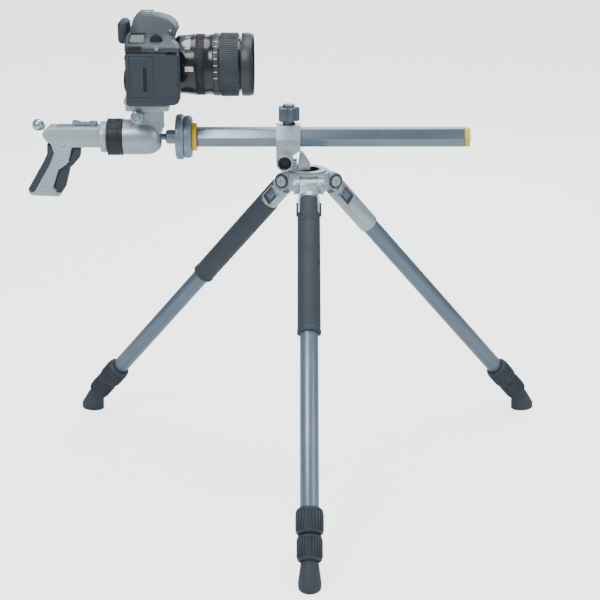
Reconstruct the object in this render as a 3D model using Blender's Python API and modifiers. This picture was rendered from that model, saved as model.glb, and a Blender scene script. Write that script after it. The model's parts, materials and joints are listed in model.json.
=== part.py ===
"""Digital reflex camera on a pistol-grip ball head and a tripod with a swing-out column.

Metres, +Z up.  The origin is the bottom centre of the box around the whole stand, so the
rubber feet rest on Z = 0.  The horizontal column runs along X with the camera at -X, and
the lens looks along +X.  The camera's hand-grip side faces -Y.
"""
from math import asin, cos, degrees, pi, radians, sin, sqrt, tan

import bmesh
import bpy
from mathutils import Vector

# ---------------------------------------------------------------- fits
GAP = 0.0003                    # between faces that touch on the real thing
RUN = 0.0006                    # between pieces that turn or slide past each other
SHAVE = 0.0002                  # keeps joined shapes from sharing a plane
ROUND = 24                      # sides of a large round piece
TUBE_ROUND = 20                 # sides of a leg piece
HUB_ROUND = 32                  # sides of the shoulder
LENS_ROUND = 30                 # sides of a lens piece
SMALL_ROUND = 16                # sides of a small round piece

# ---------------------------------------------------------------- legs
LEG_AZIMUTHS = {"front": -90.0, "right": 30.0, "left": 150.0}
PADDED_LEGS = ("front", "left")
LEG_ANGLE = radians(42.2)       # between a leg and the vertical
HINGE_RADIUS = 0.0325           # leg hinges from the centre line
HEAD_RADIUS = 0.0112            # round head of a leg casting
HEAD_WIDTH = 0.0246
CASTING_RADIUS = 0.0146
CASTING_TOP = 0.0165            # round part of the casting starts this far below the hinge
CASTING_END = 0.105
WINDOW_START = 0.0235
WINDOW_LENGTH = 0.0230
WINDOW_DEPTH = 0.0100           # across the leg
WINDOW_OFFSET = 0.0010
LATCH_LENGTH = 0.0150
LATCH_WIDTH = 0.0240
SOCKET_START = 0.0510           # the upper tube's top end
TUBE_DIAMETER = 0.025
TUBE_WALL = 0.0014
TUBE_LENGTH = 0.4400            # upper tube, from its socket to inside its lock
SECTION_STAGGER = 0.0160        # each tube starts this much lower than the one around it
LOCK_DIAMETER = 0.037
LOCK_LOWER_DIAMETER = 0.034
LOCK_LENGTH = 0.0348
LOCK_GRIP = 0.0196              # length of tube inside its lock
SLEEVE_DIAMETER = 0.0318
SLEEVE_END = 0.227
ANKLE_LENGTH = 0.0166           # boot neck, from the lower lock to the ankle point
ANKLE_RADIUS = 0.0115
FOOT_HEIGHT = 0.0184            # ankle point above the sole
SOLE_LENGTH = 0.038
SOLE_WIDTH = 0.030
SOLE_THICKNESS = 0.0085

# ---------------------------------------------------------------- shoulder and swivel
HUB_RADIUS = 0.0310
HUB_DEPTH = 0.0260              # shoulder casting, top to bottom
HUB_FLANGE = 0.0033             # plate over the leg heads
EAR_WIDTH = 0.0088
EAR_RADIUS = 0.0116
COLUMN_PASSAGE_RADIUS = 0.0160
SWIVEL_SLEEVE_WALL = 0.0020
SWIVEL_DECK_RADIUS = 0.0262
SWIVEL_DECK_THICKNESS = 0.0024
SWIVEL_SLEEVE_LENGTH = 0.0160
PIVOT_OFFSET = 0.0340           # column axis above the tilt pivot
PIVOT_BOSS_RADIUS = 0.0120
PIVOT_PIN_RADIUS = 0.0092
PIVOT_PIN_RECESS = 0.0050
LUG_HALF_WIDTH = 0.0125
ARM_THICKNESS = 0.0090
LEVER_TONGUE_WIDTH = 0.0100
LEVER_WING_WIDTH = 0.0230
LEVER_HUB_RADIUS = 0.0030
LEVER_REACH = 0.0225            # hinge of the lock lever to the tip of its wing
LEVER_BACK = 0.0036             # the wing leans back this far, so that it can lift

# ---------------------------------------------------------------- column and its clamp
COLUMN_FLATS = 0.0262           # hexagon across flats
COLUMN_WALL = 0.0020
COLUMN_LENGTH = 0.3796
COLUMN_HEAD_END = -0.1585       # column end at the camera, from the centre line
COLLAR_LENGTH = 0.0345
COLLAR_WALL = 0.0046
COLLAR_SHIFT = 0.0052           # collar's middle, from the tilt pivot towards the free end
CLAMP_KNOB_RADIUS = 0.0160
CLAMP_KNOB_LOBE = 0.0022
CLAMP_KNOB_HEIGHT = 0.0200
CLAMP_KNOB_NECK = 0.0052
CLAMP_SCREW_RADIUS = 0.0040
CAP_FLANGE = 0.0075
CAP_SPIGOT = 0.0120
RING_THICKNESS = 0.0067
RING_RADIUS = 0.0200
PLATE_RADIUS = 0.0300
PLATE_THICKNESS = 0.0105
PLATE_SPIGOT_RADIUS = 0.0090
PLATE_SPIGOT_LENGTH = 0.0200

# ---------------------------------------------------------------- ball head
BASE_RADIUS = 0.0320
BASE_THICKNESS = 0.0118
NECK_RADIUS = 0.0100
NECK_LENGTH = 0.0145
STEM_RADIUS = 0.0045
BALL_RADIUS = 0.0170
BALL_DISTANCE = 0.0265          # ball centre from the end of the neck
LINER_WALL = 0.0022
BARREL_RADIUS = 0.0250
BARREL_LENGTH = 0.0335          # from the ball centre towards the grip
TILT_SWING = radians(20.0)      # widest of the ball's own motions
STEM_OPENING = radians(39.0)    # half angle of the opening round the stem
SPIGOT_RADIUS = 0.0190
FRICTION_RING_RADIUS = 0.0257
FRICTION_RING_LENGTH = 0.0225
TOWER_HALF_WIDTH = 0.0150
BED_THICKNESS = 0.0075
BED_LENGTH = 0.0600
BED_HALF_WIDTH = 0.0200
JAW_LIP_HEIGHT = 0.0060
JAW_THICKNESS = 0.0075
PLATE_HALF_WIDTH = 0.0190
QUICK_PLATE_THICKNESS = 0.0085
QUICK_PLATE_LENGTH = 0.0660
QUICK_KNOB_RADIUS = 0.0090
QUICK_KNOB_LENGTH = 0.0110
QUICK_SCREW_RADIUS = 0.0028
KNOB_X = -0.0102                # clamp screw, from the ball centre
KNOB_Z = 0.0352

# ---------------------------------------------------------------- pistol grip
GRIP_COLLAR_RADIUS = 0.0222
GRIP_COLLAR_LENGTH = 0.0090
GRIP_HALF_WIDTH = 0.0150
GRIP_LENGTH = 0.0830            # collar face to the back of the handle's neck
GRIP_TOP = 0.0160
GRIP_BOTTOM = -0.0130
TRIGGER_HALF_WIDTH = 0.0095
PAD_HALF_WIDTH = 0.0138
REAR_KNOB_RADIUS = 0.0088
SWITCH_HALF_WIDTH = 0.0060

# ---------------------------------------------------------------- camera
CAMERA_DEPTH = 0.0590           # body without the hand grip
CAMERA_GRIP_DEPTH = 0.0140      # hand grip, in front of the body
CAMERA_WIDTH = 0.1520
CAMERA_SIDE = -0.0790           # hand-grip side
CAMERA_BODY_HEIGHT = 0.0800
CAMERA_SHOULDER_HEIGHT = 0.0940
CAMERA_HEIGHT = 0.1200          # to the top of the accessory shoe
CAMERA_BACK = -0.0200           # back of the body, from the ball centre
HAND_GRIP_WIDTH = 0.0360
PRISM_HALF_WIDTH = 0.0330
SHOE_HALF_WIDTH = 0.0105
SHOE_HEIGHT = 0.0030
LENS_AXIS_HEIGHT = 0.0450       # above the camera's base
MOUNT_RADIUS = 0.0350
MOUNT_LENGTH = 0.0040
CARD_DOOR_THICKNESS = 0.0024

# ---------------------------------------------------------------- lens
LENS_RADIUS = 0.0442
LENS_LENGTH = 0.1090
LENS_REAR_RADIUS = 0.0405
LENS_REAR_LENGTH = 0.0295
FOCUS_RING_LENGTH = 0.0118
WAIST_LENGTH = 0.0212
WAIST_RADIUS = 0.0425
ZOOM_RING_LENGTH = 0.0262
FRONT_RING_LENGTH = 0.0165
CORE_RADIUS = 0.0385
CORE_WALL = 0.0036
INNER_TUBE_WALL = 0.0040
GLASS_RADIUS = 0.0310
GLASS_THICKNESS = 0.0050
HOOD_DEPTH = 0.0070             # front glass, behind the front rim

# ---------------------------------------------------------------- derived places
LOCK_TOP = SOCKET_START + TUBE_LENGTH - LOCK_GRIP
LOCK_LOWER_TOP = LOCK_TOP + LOCK_LENGTH + GAP
ANKLE = LOCK_LOWER_TOP + LOCK_LENGTH + ANKLE_LENGTH
HINGE_HEIGHT = ANKLE * cos(LEG_ANGLE) + FOOT_HEIGHT
FLANGE_BOTTOM = HINGE_HEIGHT + HEAD_RADIUS + RUN
HUB_TOP = FLANGE_BOTTOM + HUB_FLANGE
DECK_TOP = HUB_TOP + GAP + SWIVEL_DECK_THICKNESS
PIVOT_HEIGHT = DECK_TOP + RUN + PIVOT_BOSS_RADIUS
PIVOT_X = -PIVOT_OFFSET         # so that the column is central when it stands upright
COLUMN_HEIGHT = PIVOT_HEIGHT + PIVOT_OFFSET
PLATE_FACE = COLUMN_HEAD_END - GAP - RING_THICKNESS - GAP
BASE_FACE = PLATE_FACE - PLATE_THICKNESS - GAP
NECK_END = BASE_FACE - BASE_THICKNESS - NECK_LENGTH
BALL_X = NECK_END - BALL_DISTANCE
LINER_RADIUS = BALL_RADIUS + GAP + LINER_WALL
CAVITY_RADIUS = LINER_RADIUS + GAP
RING_FACE = BALL_X - BARREL_LENGTH
GRIP_FACE = RING_FACE - FRICTION_RING_LENGTH - 2 * GAP
BED_TOP = COLUMN_HEIGHT + BARREL_RADIUS + 0.0240
QUICK_PLATE_BOTTOM = BED_TOP + GAP
CAMERA_BASE = QUICK_PLATE_BOTTOM + QUICK_PLATE_THICKNESS + GAP
CAMERA_BACK_X = BALL_X + CAMERA_BACK
CAMERA_FRONT_X = CAMERA_BACK_X + CAMERA_DEPTH
LENS_Z = CAMERA_BASE + LENS_AXIS_HEIGHT
LENS_X = CAMERA_FRONT_X + MOUNT_LENGTH + GAP

COLOURS = {                     # name: (red, green, blue, roughness, metallic)
    "cast_alloy": (0.55, 0.62, 0.66, 0.38, 0.70),
    "machined_alloy": (0.62, 0.68, 0.72, 0.28, 0.85),
    "anodised_tube": (0.28, 0.34, 0.38, 0.35, 0.75),
    "grey_paint": (0.30, 0.36, 0.42, 0.45, 0.30),
    "soft_rubber": (0.045, 0.055, 0.070, 0.80, 0.0),
    "black_rubber": (0.012, 0.014, 0.018, 0.70, 0.0),
    "black_plastic": (0.030, 0.034, 0.040, 0.45, 0.0),
    "camera_shell": (0.050, 0.062, 0.078, 0.55, 0.0),
    "yellow_plastic": (0.85, 0.62, 0.03, 0.40, 0.0),
    "lens_glass": (0.02, 0.03, 0.05, 0.05, 0.0),
}


# ================================================================ helpers
def clear_scene():
    """Empty the file of objects, so that the model starts clean."""
    for obj in list(bpy.data.objects):
        bpy.data.objects.remove(obj, do_unlink=True)


def make_collection(name):
    """Add one collection to the scene."""
    collection = bpy.data.collections.new(name)
    bpy.context.scene.collection.children.link(collection)
    return collection


def make_materials():
    """One Principled material for each finish."""
    materials = {}
    for name, (red, green, blue, roughness, metallic) in COLOURS.items():
        material = bpy.data.materials.new(name)
        material.use_nodes = True
        shader = material.node_tree.nodes["Principled BSDF"]
        shader.inputs["Base Color"].default_value = (red, green, blue, 1.0)
        shader.inputs["Roughness"].default_value = roughness
        shader.inputs["Metallic"].default_value = metallic
        material.diffuse_color = (red, green, blue, 1.0)
        materials[name] = material
    return materials


def put_in(obj, collection):
    """Move an object into one collection."""
    for old in list(obj.users_collection):
        old.objects.unlink(obj)
    collection.objects.link(obj)


def empty(name, parent, location=(0.0, 0.0, 0.0), rotation=(0.0, 0.0, 0.0)):
    """An empty that carries the pieces of one body, on that body's joint axis."""
    obj = bpy.data.objects.new(name, None)
    obj.empty_display_size = 0.02
    MODEL.objects.link(obj)
    obj.parent = parent
    obj.location = location
    obj.rotation_euler = rotation
    return obj


def finish(obj, name, material, parent, sharp=35.0):
    """Turn a raw shape into a named sub-part."""
    obj.name = name
    obj.data.name = name
    put_in(obj, MODEL)
    obj.parent = parent
    obj.data.materials.clear()
    obj.data.materials.append(MATERIALS[material])
    obj.data.shade_smooth()
    obj.data.set_sharp_from_angle(angle=radians(sharp))
    return obj


def as_guide(obj, parent):
    """Keep a shape only for the Booleans that use it."""
    put_in(obj, GUIDES)
    obj.parent = parent
    obj.hide_render = True
    obj.display_type = "WIRE"
    return obj


def combine(obj, other, operation, parent):
    """Add or remove one shape with an exact Boolean."""
    modifier = obj.modifiers.new(operation.lower(), "BOOLEAN")
    modifier.operation = operation
    modifier.object = as_guide(other, parent)
    modifier.solver = "EXACT"
    return obj


def join(obj, parent, *others):
    """Unite shapes into one solid."""
    for other in others:
        combine(obj, other, "UNION", parent)
    return obj


def cut(obj, parent, *others):
    """Take shapes out of a solid."""
    for other in others:
        combine(obj, other, "DIFFERENCE", parent)
    return obj


def soften(obj, width, segments=2, angle=40.0):
    """Round the edges of a piece."""
    modifier = obj.modifiers.new("round_edges", "BEVEL")
    modifier.width = width
    modifier.segments = segments
    modifier.limit_method = "ANGLE"
    modifier.angle_limit = radians(angle)
    modifier.use_clamp_overlap = True
    return obj


def box(low, high):
    """Box between two corners."""
    bpy.ops.mesh.primitive_cube_add(size=1.0)
    obj = bpy.context.object
    obj.scale = [b - a for a, b in zip(low, high)]
    bpy.ops.object.transform_apply(location=False, rotation=False, scale=True)
    obj.location = [(a + b) / 2.0 for a, b in zip(low, high)]
    return obj


def rod(start, end, radius, sides=ROUND, top_radius=None):
    """Cylinder or cone between two points."""
    start, end = Vector(start), Vector(end)
    run = end - start
    bpy.ops.mesh.primitive_cone_add(vertices=sides, radius1=radius,
                                    radius2=radius if top_radius is None else top_radius,
                                    depth=run.length)
    obj = bpy.context.object
    obj.rotation_mode = "QUATERNION"
    obj.rotation_quaternion = run.to_track_quat("Z", "Y")
    obj.location = (start + end) / 2.0
    return obj


def hexagon(start_x, end_x, flats, height):
    """Hexagonal bar along X with flats above and below."""
    bpy.ops.mesh.primitive_cylinder_add(vertices=6, radius=flats / sqrt(3.0),
                                        depth=end_x - start_x)
    obj = bpy.context.object
    obj.rotation_euler = (0.0, pi / 2.0, 0.0)
    obj.location = ((start_x + end_x) / 2.0, 0.0, height)
    return obj


def turned(profile, sides=ROUND, axis="Z"):
    """Turn (radius, height) points about an axis; the outer side comes first, top to bottom.

    A profile that starts and ends on the axis is a solid; any other is closed into a ring.
    """
    mesh = bpy.data.meshes.new("turned")
    count = len(profile)
    links = [(i, i + 1) for i in range(count - 1)]
    if profile[0][0] > 0.0 or profile[-1][0] > 0.0:
        links.append((count - 1, 0))
    mesh.from_pydata([(radius, 0.0, height) for radius, height in profile], links, [])
    obj = bpy.data.objects.new("turned", mesh)
    MODEL.objects.link(obj)
    screw = obj.modifiers.new("turn", "SCREW")
    screw.axis = "Z"
    screw.steps = sides
    screw.render_steps = sides
    screw.use_merge_vertices = True
    screw.merge_threshold = 0.00001
    if axis == "X":
        obj.rotation_euler = (0.0, pi / 2.0, 0.0)
    return obj


def plate(points, half_width, centre_y=0.0):
    """Flat outline in X and Z, given its thickness along Y."""
    curve = bpy.data.curves.new("outline", "CURVE")
    curve.dimensions = "2D"
    curve.fill_mode = "BOTH"
    curve.extrude = half_width
    spline = curve.splines.new("POLY")
    spline.points.add(len(points) - 1)
    for point, (x, z) in zip(spline.points, points):
        point.co = (x, z, 0.0, 1.0)
    spline.use_cyclic_u = True
    raw = bpy.data.objects.new("outline", curve)
    MODEL.objects.link(raw)
    raw.rotation_euler = (pi / 2.0, 0.0, 0.0)
    raw.location = (0.0, centre_y, 0.0)
    bpy.context.view_layer.update()
    evaluated = raw.evaluated_get(bpy.context.evaluated_depsgraph_get())
    mesh = bpy.data.meshes.new_from_object(evaluated)
    shape = bmesh.new()
    shape.from_mesh(mesh)
    bmesh.ops.remove_doubles(shape, verts=shape.verts, dist=0.00001)
    bmesh.ops.dissolve_limit(shape, angle_limit=radians(0.5), verts=shape.verts,
                             edges=shape.edges)
    bmesh.ops.recalc_face_normals(shape, faces=shape.faces)
    shape.to_mesh(mesh)
    shape.free()
    obj = bpy.data.objects.new("outline", mesh)
    MODEL.objects.link(obj)
    obj.matrix_world = raw.matrix_world
    bpy.data.objects.remove(raw, do_unlink=True)
    return obj


def arc(centre_x, centre_z, radius, start, end, count):
    """Points along an arc, angles in degrees from +X towards +Z."""
    steps = [start + (end - start) * i / (count - 1) for i in range(count)]
    return [(centre_x + radius * cos(radians(a)), centre_z + radius * sin(radians(a)))
            for a in steps]


# ================================================================ shoulder
def build_shoulder(stand):
    """Cast shoulder with three pairs of ears for the legs."""
    core = SWIVEL_SLEEVE_WALL + COLUMN_PASSAGE_RADIUS + GAP
    bottom = HUB_TOP - HUB_DEPTH
    shoulder = rod((0, 0, bottom), (0, 0, HUB_TOP), HUB_RADIUS, HUB_ROUND)
    ear_start = HEAD_WIDTH / 2.0 + RUN / 2.0
    ear_end = ear_start + EAR_WIDTH
    for name, azimuth in LEG_AZIMUTHS.items():
        frame = empty("hinge_line_" + name, stand, rotation=(0, 0, radians(azimuth - 90.0)))
        for side in (-1.0, 1.0):
            low, high = sorted((side * ear_start, side * ear_end))
            ear = rod((low, HINGE_RADIUS, HINGE_HEIGHT), (high, HINGE_RADIUS, HINGE_HEIGHT),
                      EAR_RADIUS, TUBE_ROUND)
            web = box((low + SHAVE, core, HINGE_HEIGHT - EAR_RADIUS * 0.8),
                      (high - SHAVE, HINGE_RADIUS, HUB_TOP - HUB_FLANGE / 2.0))
            join(shoulder, frame, ear, web)
        pocket_half = ear_start + SHAVE / 2.0
        pocket = box((-pocket_half, HINGE_RADIUS - HEAD_RADIUS - RUN, bottom - RUN),
                     (pocket_half, HINGE_RADIUS + EAR_RADIUS * 2.0, FLANGE_BOTTOM))
        cut(shoulder, frame, pocket)
    passage = rod((0, 0, bottom - RUN), (0, 0, HUB_TOP + RUN), core + GAP, HUB_ROUND)
    cut(shoulder, stand, passage)
    finish(shoulder, "shoulder", "cast_alloy", stand)


# ================================================================ legs
def build_leg(stand, name, azimuth):
    """One three-section leg: hinge casting, angle latch, tubes, twist locks and boot."""
    a = radians(azimuth)
    hinge = empty("leg_" + name, stand,
                  (HINGE_RADIUS * cos(a), HINGE_RADIUS * sin(a), HINGE_HEIGHT),
                  (LEG_ANGLE, 0.0, a - pi / 2.0))
    build_casting(hinge, name)
    build_latch(hinge, name)
    tube_radius = TUBE_DIAMETER / 2.0
    build_tube(hinge, "tube_upper_" + name, SOCKET_START, TUBE_LENGTH, tube_radius)
    if name in PADDED_LEGS:
        build_sleeve(hinge, name)

    middle_radius = tube_radius - TUBE_WALL - GAP
    lower_radius = middle_radius - TUBE_WALL - GAP
    build_lock(hinge, "lock_upper_" + name, LOCK_TOP, LOCK_DIAMETER / 2.0, tube_radius,
               middle_radius)
    middle = empty("middle_section_" + name, hinge)
    middle_start = SOCKET_START + SECTION_STAGGER
    build_tube(middle, "tube_middle_" + name, middle_start,
               LOCK_LOWER_TOP + LOCK_GRIP - middle_start, middle_radius)
    build_lock(middle, "lock_lower_" + name, LOCK_LOWER_TOP, LOCK_LOWER_DIAMETER / 2.0,
               middle_radius, lower_radius)
    lower = empty("lower_section_" + name, middle)
    lower_start = middle_start + SECTION_STAGGER
    lower_end = ANKLE - ANKLE_LENGTH * 0.3
    build_tube(lower, "tube_lower_" + name, lower_start, lower_end - lower_start, lower_radius)
    build_boot(lower, name, lower_radius, lower_end)


def build_casting(hinge, name):
    """Leg casting: round head between the ears, latch window and tube socket."""
    half = HEAD_WIDTH / 2.0
    casting = rod((-half, 0, 0), (half, 0, 0), HEAD_RADIUS, SMALL_ROUND)
    neck = box((-half, -HEAD_RADIUS * 0.8, -CASTING_TOP - RUN),
               (half, HEAD_RADIUS * 0.9, -HEAD_RADIUS * 0.1))
    barrel = rod((0, 0, -CASTING_END), (0, 0, -CASTING_TOP), CASTING_RADIUS, TUBE_ROUND)
    join(casting, hinge, neck, barrel)
    window = box((-CASTING_RADIUS * 1.2, WINDOW_OFFSET, -WINDOW_START - WINDOW_LENGTH),
                 (CASTING_RADIUS * 1.2, WINDOW_OFFSET + WINDOW_DEPTH, -WINDOW_START))
    socket = rod((0, 0, -CASTING_END - RUN), (0, 0, -SOCKET_START + GAP),
                 TUBE_DIAMETER / 2.0 + GAP, TUBE_ROUND)
    cut(casting, hinge, window, socket)
    finish(casting, "leg_casting_" + name, "cast_alloy", hinge)


def build_latch(hinge, name):
    """Pull-down angle latch, a bar through the window of the casting."""
    top = -WINDOW_START - RUN * 2.0
    latch = box((-LATCH_WIDTH / 2.0, WINDOW_OFFSET + RUN, top - LATCH_LENGTH),
                (LATCH_WIDTH / 2.0, WINDOW_OFFSET + WINDOW_DEPTH - RUN, top))
    soften(latch, 0.0010, 1)
    finish(latch, "angle_latch_" + name, "grey_paint", hinge)


def build_tube(parent, name, start, length, radius):
    """Leg tube, open at both ends."""
    inner = radius - TUBE_WALL
    profile = [(radius, 0.0), (radius, -length), (inner, -length), (inner, 0.0)]
    tube = turned(profile, TUBE_ROUND)
    tube.location = (0, 0, -start)
    finish(tube, name, "anodised_tube", parent)


def build_lock(parent, name, start, radius, outer_tube, inner_tube):
    """Twist lock: grips the end of one tube and lets the next one through."""
    wide, narrow = outer_tube + GAP, inner_tube + GAP
    step = LOCK_GRIP + GAP
    lip = 0.0014
    profile = [(radius - lip, 0.0), (radius, -lip), (radius, -LOCK_LENGTH + lip),
               (radius - lip, -LOCK_LENGTH), (narrow, -LOCK_LENGTH), (narrow, -step),
               (wide, -step), (wide, 0.0)]
    lock = turned(profile, TUBE_ROUND)
    lock.location = (0, 0, -start)
    finish(lock, name, "black_rubber", parent)


def build_sleeve(hinge, name):
    """Padded sleeve round the casting's end and the upper tube."""
    radius = SLEEVE_DIAMETER / 2.0
    start = SOCKET_START - GAP
    over_casting = CASTING_RADIUS + GAP
    over_tube = TUBE_DIAMETER / 2.0 + GAP
    step = CASTING_END + GAP - start
    length = SLEEVE_END - start
    lip = 0.0010
    profile = [(over_casting + lip / 4.0, 0.0), (radius, -lip), (radius, -length + lip),
               (radius - lip, -length), (over_tube, -length), (over_tube, -step),
               (over_casting, -step), (over_casting, 0.0)]
    sleeve = turned(profile[1:] if radius - over_casting < lip else profile, TUBE_ROUND)
    sleeve.location = (0, 0, -start)
    finish(sleeve, "leg_sleeve_" + name, "soft_rubber", hinge)


def build_boot(parent, name, tube_radius, tube_end):
    """Rubber boot with a level sole, moulded round the end of the lower tube."""
    ankle = empty("ankle_" + name, parent, (0, 0, -ANKLE), (-LEG_ANGLE, 0, 0))
    along = Vector((0.0, -sin(LEG_ANGLE), cos(LEG_ANGLE)))
    across = Vector((0.0, cos(LEG_ANGLE), sin(LEG_ANGLE)))
    sideways = Vector((1.0, 0.0, 0.0))
    shape = bmesh.new()
    count = 20
    top = ANKLE_LENGTH - GAP
    for step in range(count):
        turn = 2.0 * pi * step / count
        rim = sideways * ANKLE_RADIUS * cos(turn) + across * ANKLE_RADIUS * sin(turn)
        shape.verts.new(rim + along * top)
        shape.verts.new(rim + along * top * 0.35)
        edge = Vector((SOLE_WIDTH / 2.0 * cos(turn), SOLE_LENGTH / 2.0 * sin(turn), 0.0))
        shape.verts.new(edge + Vector((0, 0, -FOOT_HEIGHT)))
        shape.verts.new(edge + Vector((0, 0, SOLE_THICKNESS - FOOT_HEIGHT)))
    hull = bmesh.ops.convex_hull(shape, input=shape.verts)
    inside = [v for v in hull["geom_interior"] if isinstance(v, bmesh.types.BMVert)]
    bmesh.ops.delete(shape, geom=inside, context="VERTS")
    bmesh.ops.recalc_face_normals(shape, faces=shape.faces)
    mesh = bpy.data.meshes.new("boot")
    shape.to_mesh(mesh)
    shape.free()
    boot = bpy.data.objects.new("boot", mesh)
    depth = ANKLE - tube_end - GAP
    socket = rod(along * depth, along * (ANKLE_LENGTH + RUN), tube_radius + GAP, TUBE_ROUND)
    cut(boot, ankle, socket)
    finish(boot, "foot_" + name, "black_rubber", ankle)


# ================================================================ swivel and column clamp
def build_swivel(stand):
    """Turning deck on the shoulder, with the lug that carries the tilt pivot."""
    swivel = empty("swivel", stand, (0, 0, HUB_TOP))
    inner = COLUMN_PASSAGE_RADIUS
    outer = inner + SWIVEL_SLEEVE_WALL
    deck_top = DECK_TOP - HUB_TOP
    profile = [(SWIVEL_DECK_RADIUS, deck_top), (SWIVEL_DECK_RADIUS, GAP), (outer, GAP),
               (outer, -SWIVEL_SLEEVE_LENGTH), (inner, -SWIVEL_SLEEVE_LENGTH),
               (inner, deck_top)]
    base = turned(profile)
    pivot = PIVOT_HEIGHT - HUB_TOP
    lug_right = PIVOT_X + PIVOT_OFFSET - COLUMN_PASSAGE_RADIUS - RUN
    lug = rod((PIVOT_X, -LUG_HALF_WIDTH, pivot), (PIVOT_X, LUG_HALF_WIDTH, pivot),
              PIVOT_BOSS_RADIUS, SMALL_ROUND)
    foot = box((-SWIVEL_DECK_RADIUS * 0.98, -LUG_HALF_WIDTH, GAP * 2.0),
               (lug_right, LUG_HALF_WIDTH, pivot))
    join(base, swivel, foot, lug)
    pin_hole = rod((PIVOT_X, -LUG_HALF_WIDTH * 1.2, pivot),
                   (PIVOT_X, LUG_HALF_WIDTH * 1.2, pivot), PIVOT_PIN_RADIUS + GAP, SMALL_ROUND)
    lever_x, lever_z = lug_right - LEVER_HUB_RADIUS * 1.2, deck_top + LEVER_HUB_RADIUS + RUN
    slot = box((lever_x - LEVER_HUB_RADIUS - RUN, -LEVER_TONGUE_WIDTH / 2.0 - GAP, deck_top),
               (lug_right + RUN, LEVER_TONGUE_WIDTH / 2.0 + GAP, pivot + RUN))
    cut(base, swivel, slot, pin_hole)
    finish(base, "swivel_base", "cast_alloy", swivel)

    lever_axis = empty("lock_lever_axis", swivel, (lever_x, 0, lever_z))
    lever = rod((0, -LEVER_TONGUE_WIDTH / 2.0, 0), (0, LEVER_TONGUE_WIDTH / 2.0, 0),
                LEVER_HUB_RADIUS, 16)
    wing_left = lug_right - lever_x + RUN
    tongue = box((0, -LEVER_TONGUE_WIDTH / 2.0, -LEVER_HUB_RADIUS * 0.8),
                 (wing_left + RUN, LEVER_TONGUE_WIDTH / 2.0, LEVER_HUB_RADIUS * 0.8))
    wing_top = PIVOT_BOSS_RADIUS + pivot - lever_z - RUN
    wing = plate([(wing_left, -LEVER_HUB_RADIUS * 0.9), (LEVER_REACH, -LEVER_HUB_RADIUS * 0.9),
                  (LEVER_REACH, LEVER_HUB_RADIUS), (wing_left + 2.0 * LEVER_BACK, wing_top),
                  (wing_left + LEVER_BACK, wing_top)], LEVER_WING_WIDTH / 2.0)
    join(lever, lever_axis, tongue, wing)
    finish(lever, "pivot_lever", "cast_alloy", lever_axis)
    return swivel


def build_column_clamp(swivel):
    """Clamp that tilts on the pivot and holds the column in its hexagonal collar."""
    tilt = empty("column_tilt", swivel, (PIVOT_X, 0, PIVOT_HEIGHT - HUB_TOP))
    low, high = COLLAR_SHIFT - COLLAR_LENGTH / 2.0, COLLAR_SHIFT + COLLAR_LENGTH / 2.0
    flats = COLUMN_FLATS + 2.0 * COLLAR_WALL
    clamp = hexagon(low, high, flats, PIVOT_OFFSET)
    arm_bottom_x = PIVOT_BOSS_RADIUS
    outline = [(low, PIVOT_OFFSET), (low, 0.0)]
    outline += arc(0, 0, PIVOT_BOSS_RADIUS, 180.0, 360.0, 11)
    outline += [(arm_bottom_x, PIVOT_BOSS_RADIUS), (high, PIVOT_OFFSET - flats * 0.45),
                (high, PIVOT_OFFSET)]
    for side in (-1.0, 1.0):
        middle = side * (LUG_HALF_WIDTH + RUN + ARM_THICKNESS / 2.0)
        arm = plate(outline, ARM_THICKNESS / 2.0, middle)
        join(clamp, tilt, arm)
    screw_top = PIVOT_OFFSET + flats / 2.0
    bore = hexagon(low - RUN, high + RUN, COLUMN_FLATS + 2.0 * GAP, PIVOT_OFFSET)
    screw_hole = rod((COLLAR_SHIFT, 0, PIVOT_OFFSET), (COLLAR_SHIFT, 0, screw_top + RUN),
                     CLAMP_SCREW_RADIUS + GAP, SMALL_ROUND)
    reach = LUG_HALF_WIDTH + RUN + ARM_THICKNESS
    pin_hole = rod((0, -reach - RUN, 0), (0, reach + RUN, 0), PIVOT_PIN_RADIUS + GAP,
                   SMALL_ROUND)
    cut(clamp, tilt, bore, screw_hole, pin_hole)
    finish(clamp, "column_clamp", "cast_alloy", tilt)

    recess = PIVOT_PIN_RADIUS * 0.8
    profile = [(recess, reach), (PIVOT_PIN_RADIUS, reach), (PIVOT_PIN_RADIUS, -reach),
               (recess, -reach), (recess, -reach + PIVOT_PIN_RECESS),
               (0.0, -reach + PIVOT_PIN_RECESS)]
    profile = [(0.0, reach - PIVOT_PIN_RECESS), (recess, reach - PIVOT_PIN_RECESS)] + profile
    pin = turned(profile, SMALL_ROUND)
    pin.rotation_euler = (pi / 2.0, 0, 0)
    finish(pin, "pivot_pin", "black_plastic", tilt)

    build_clamp_knob(tilt, screw_top)
    return tilt


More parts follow.
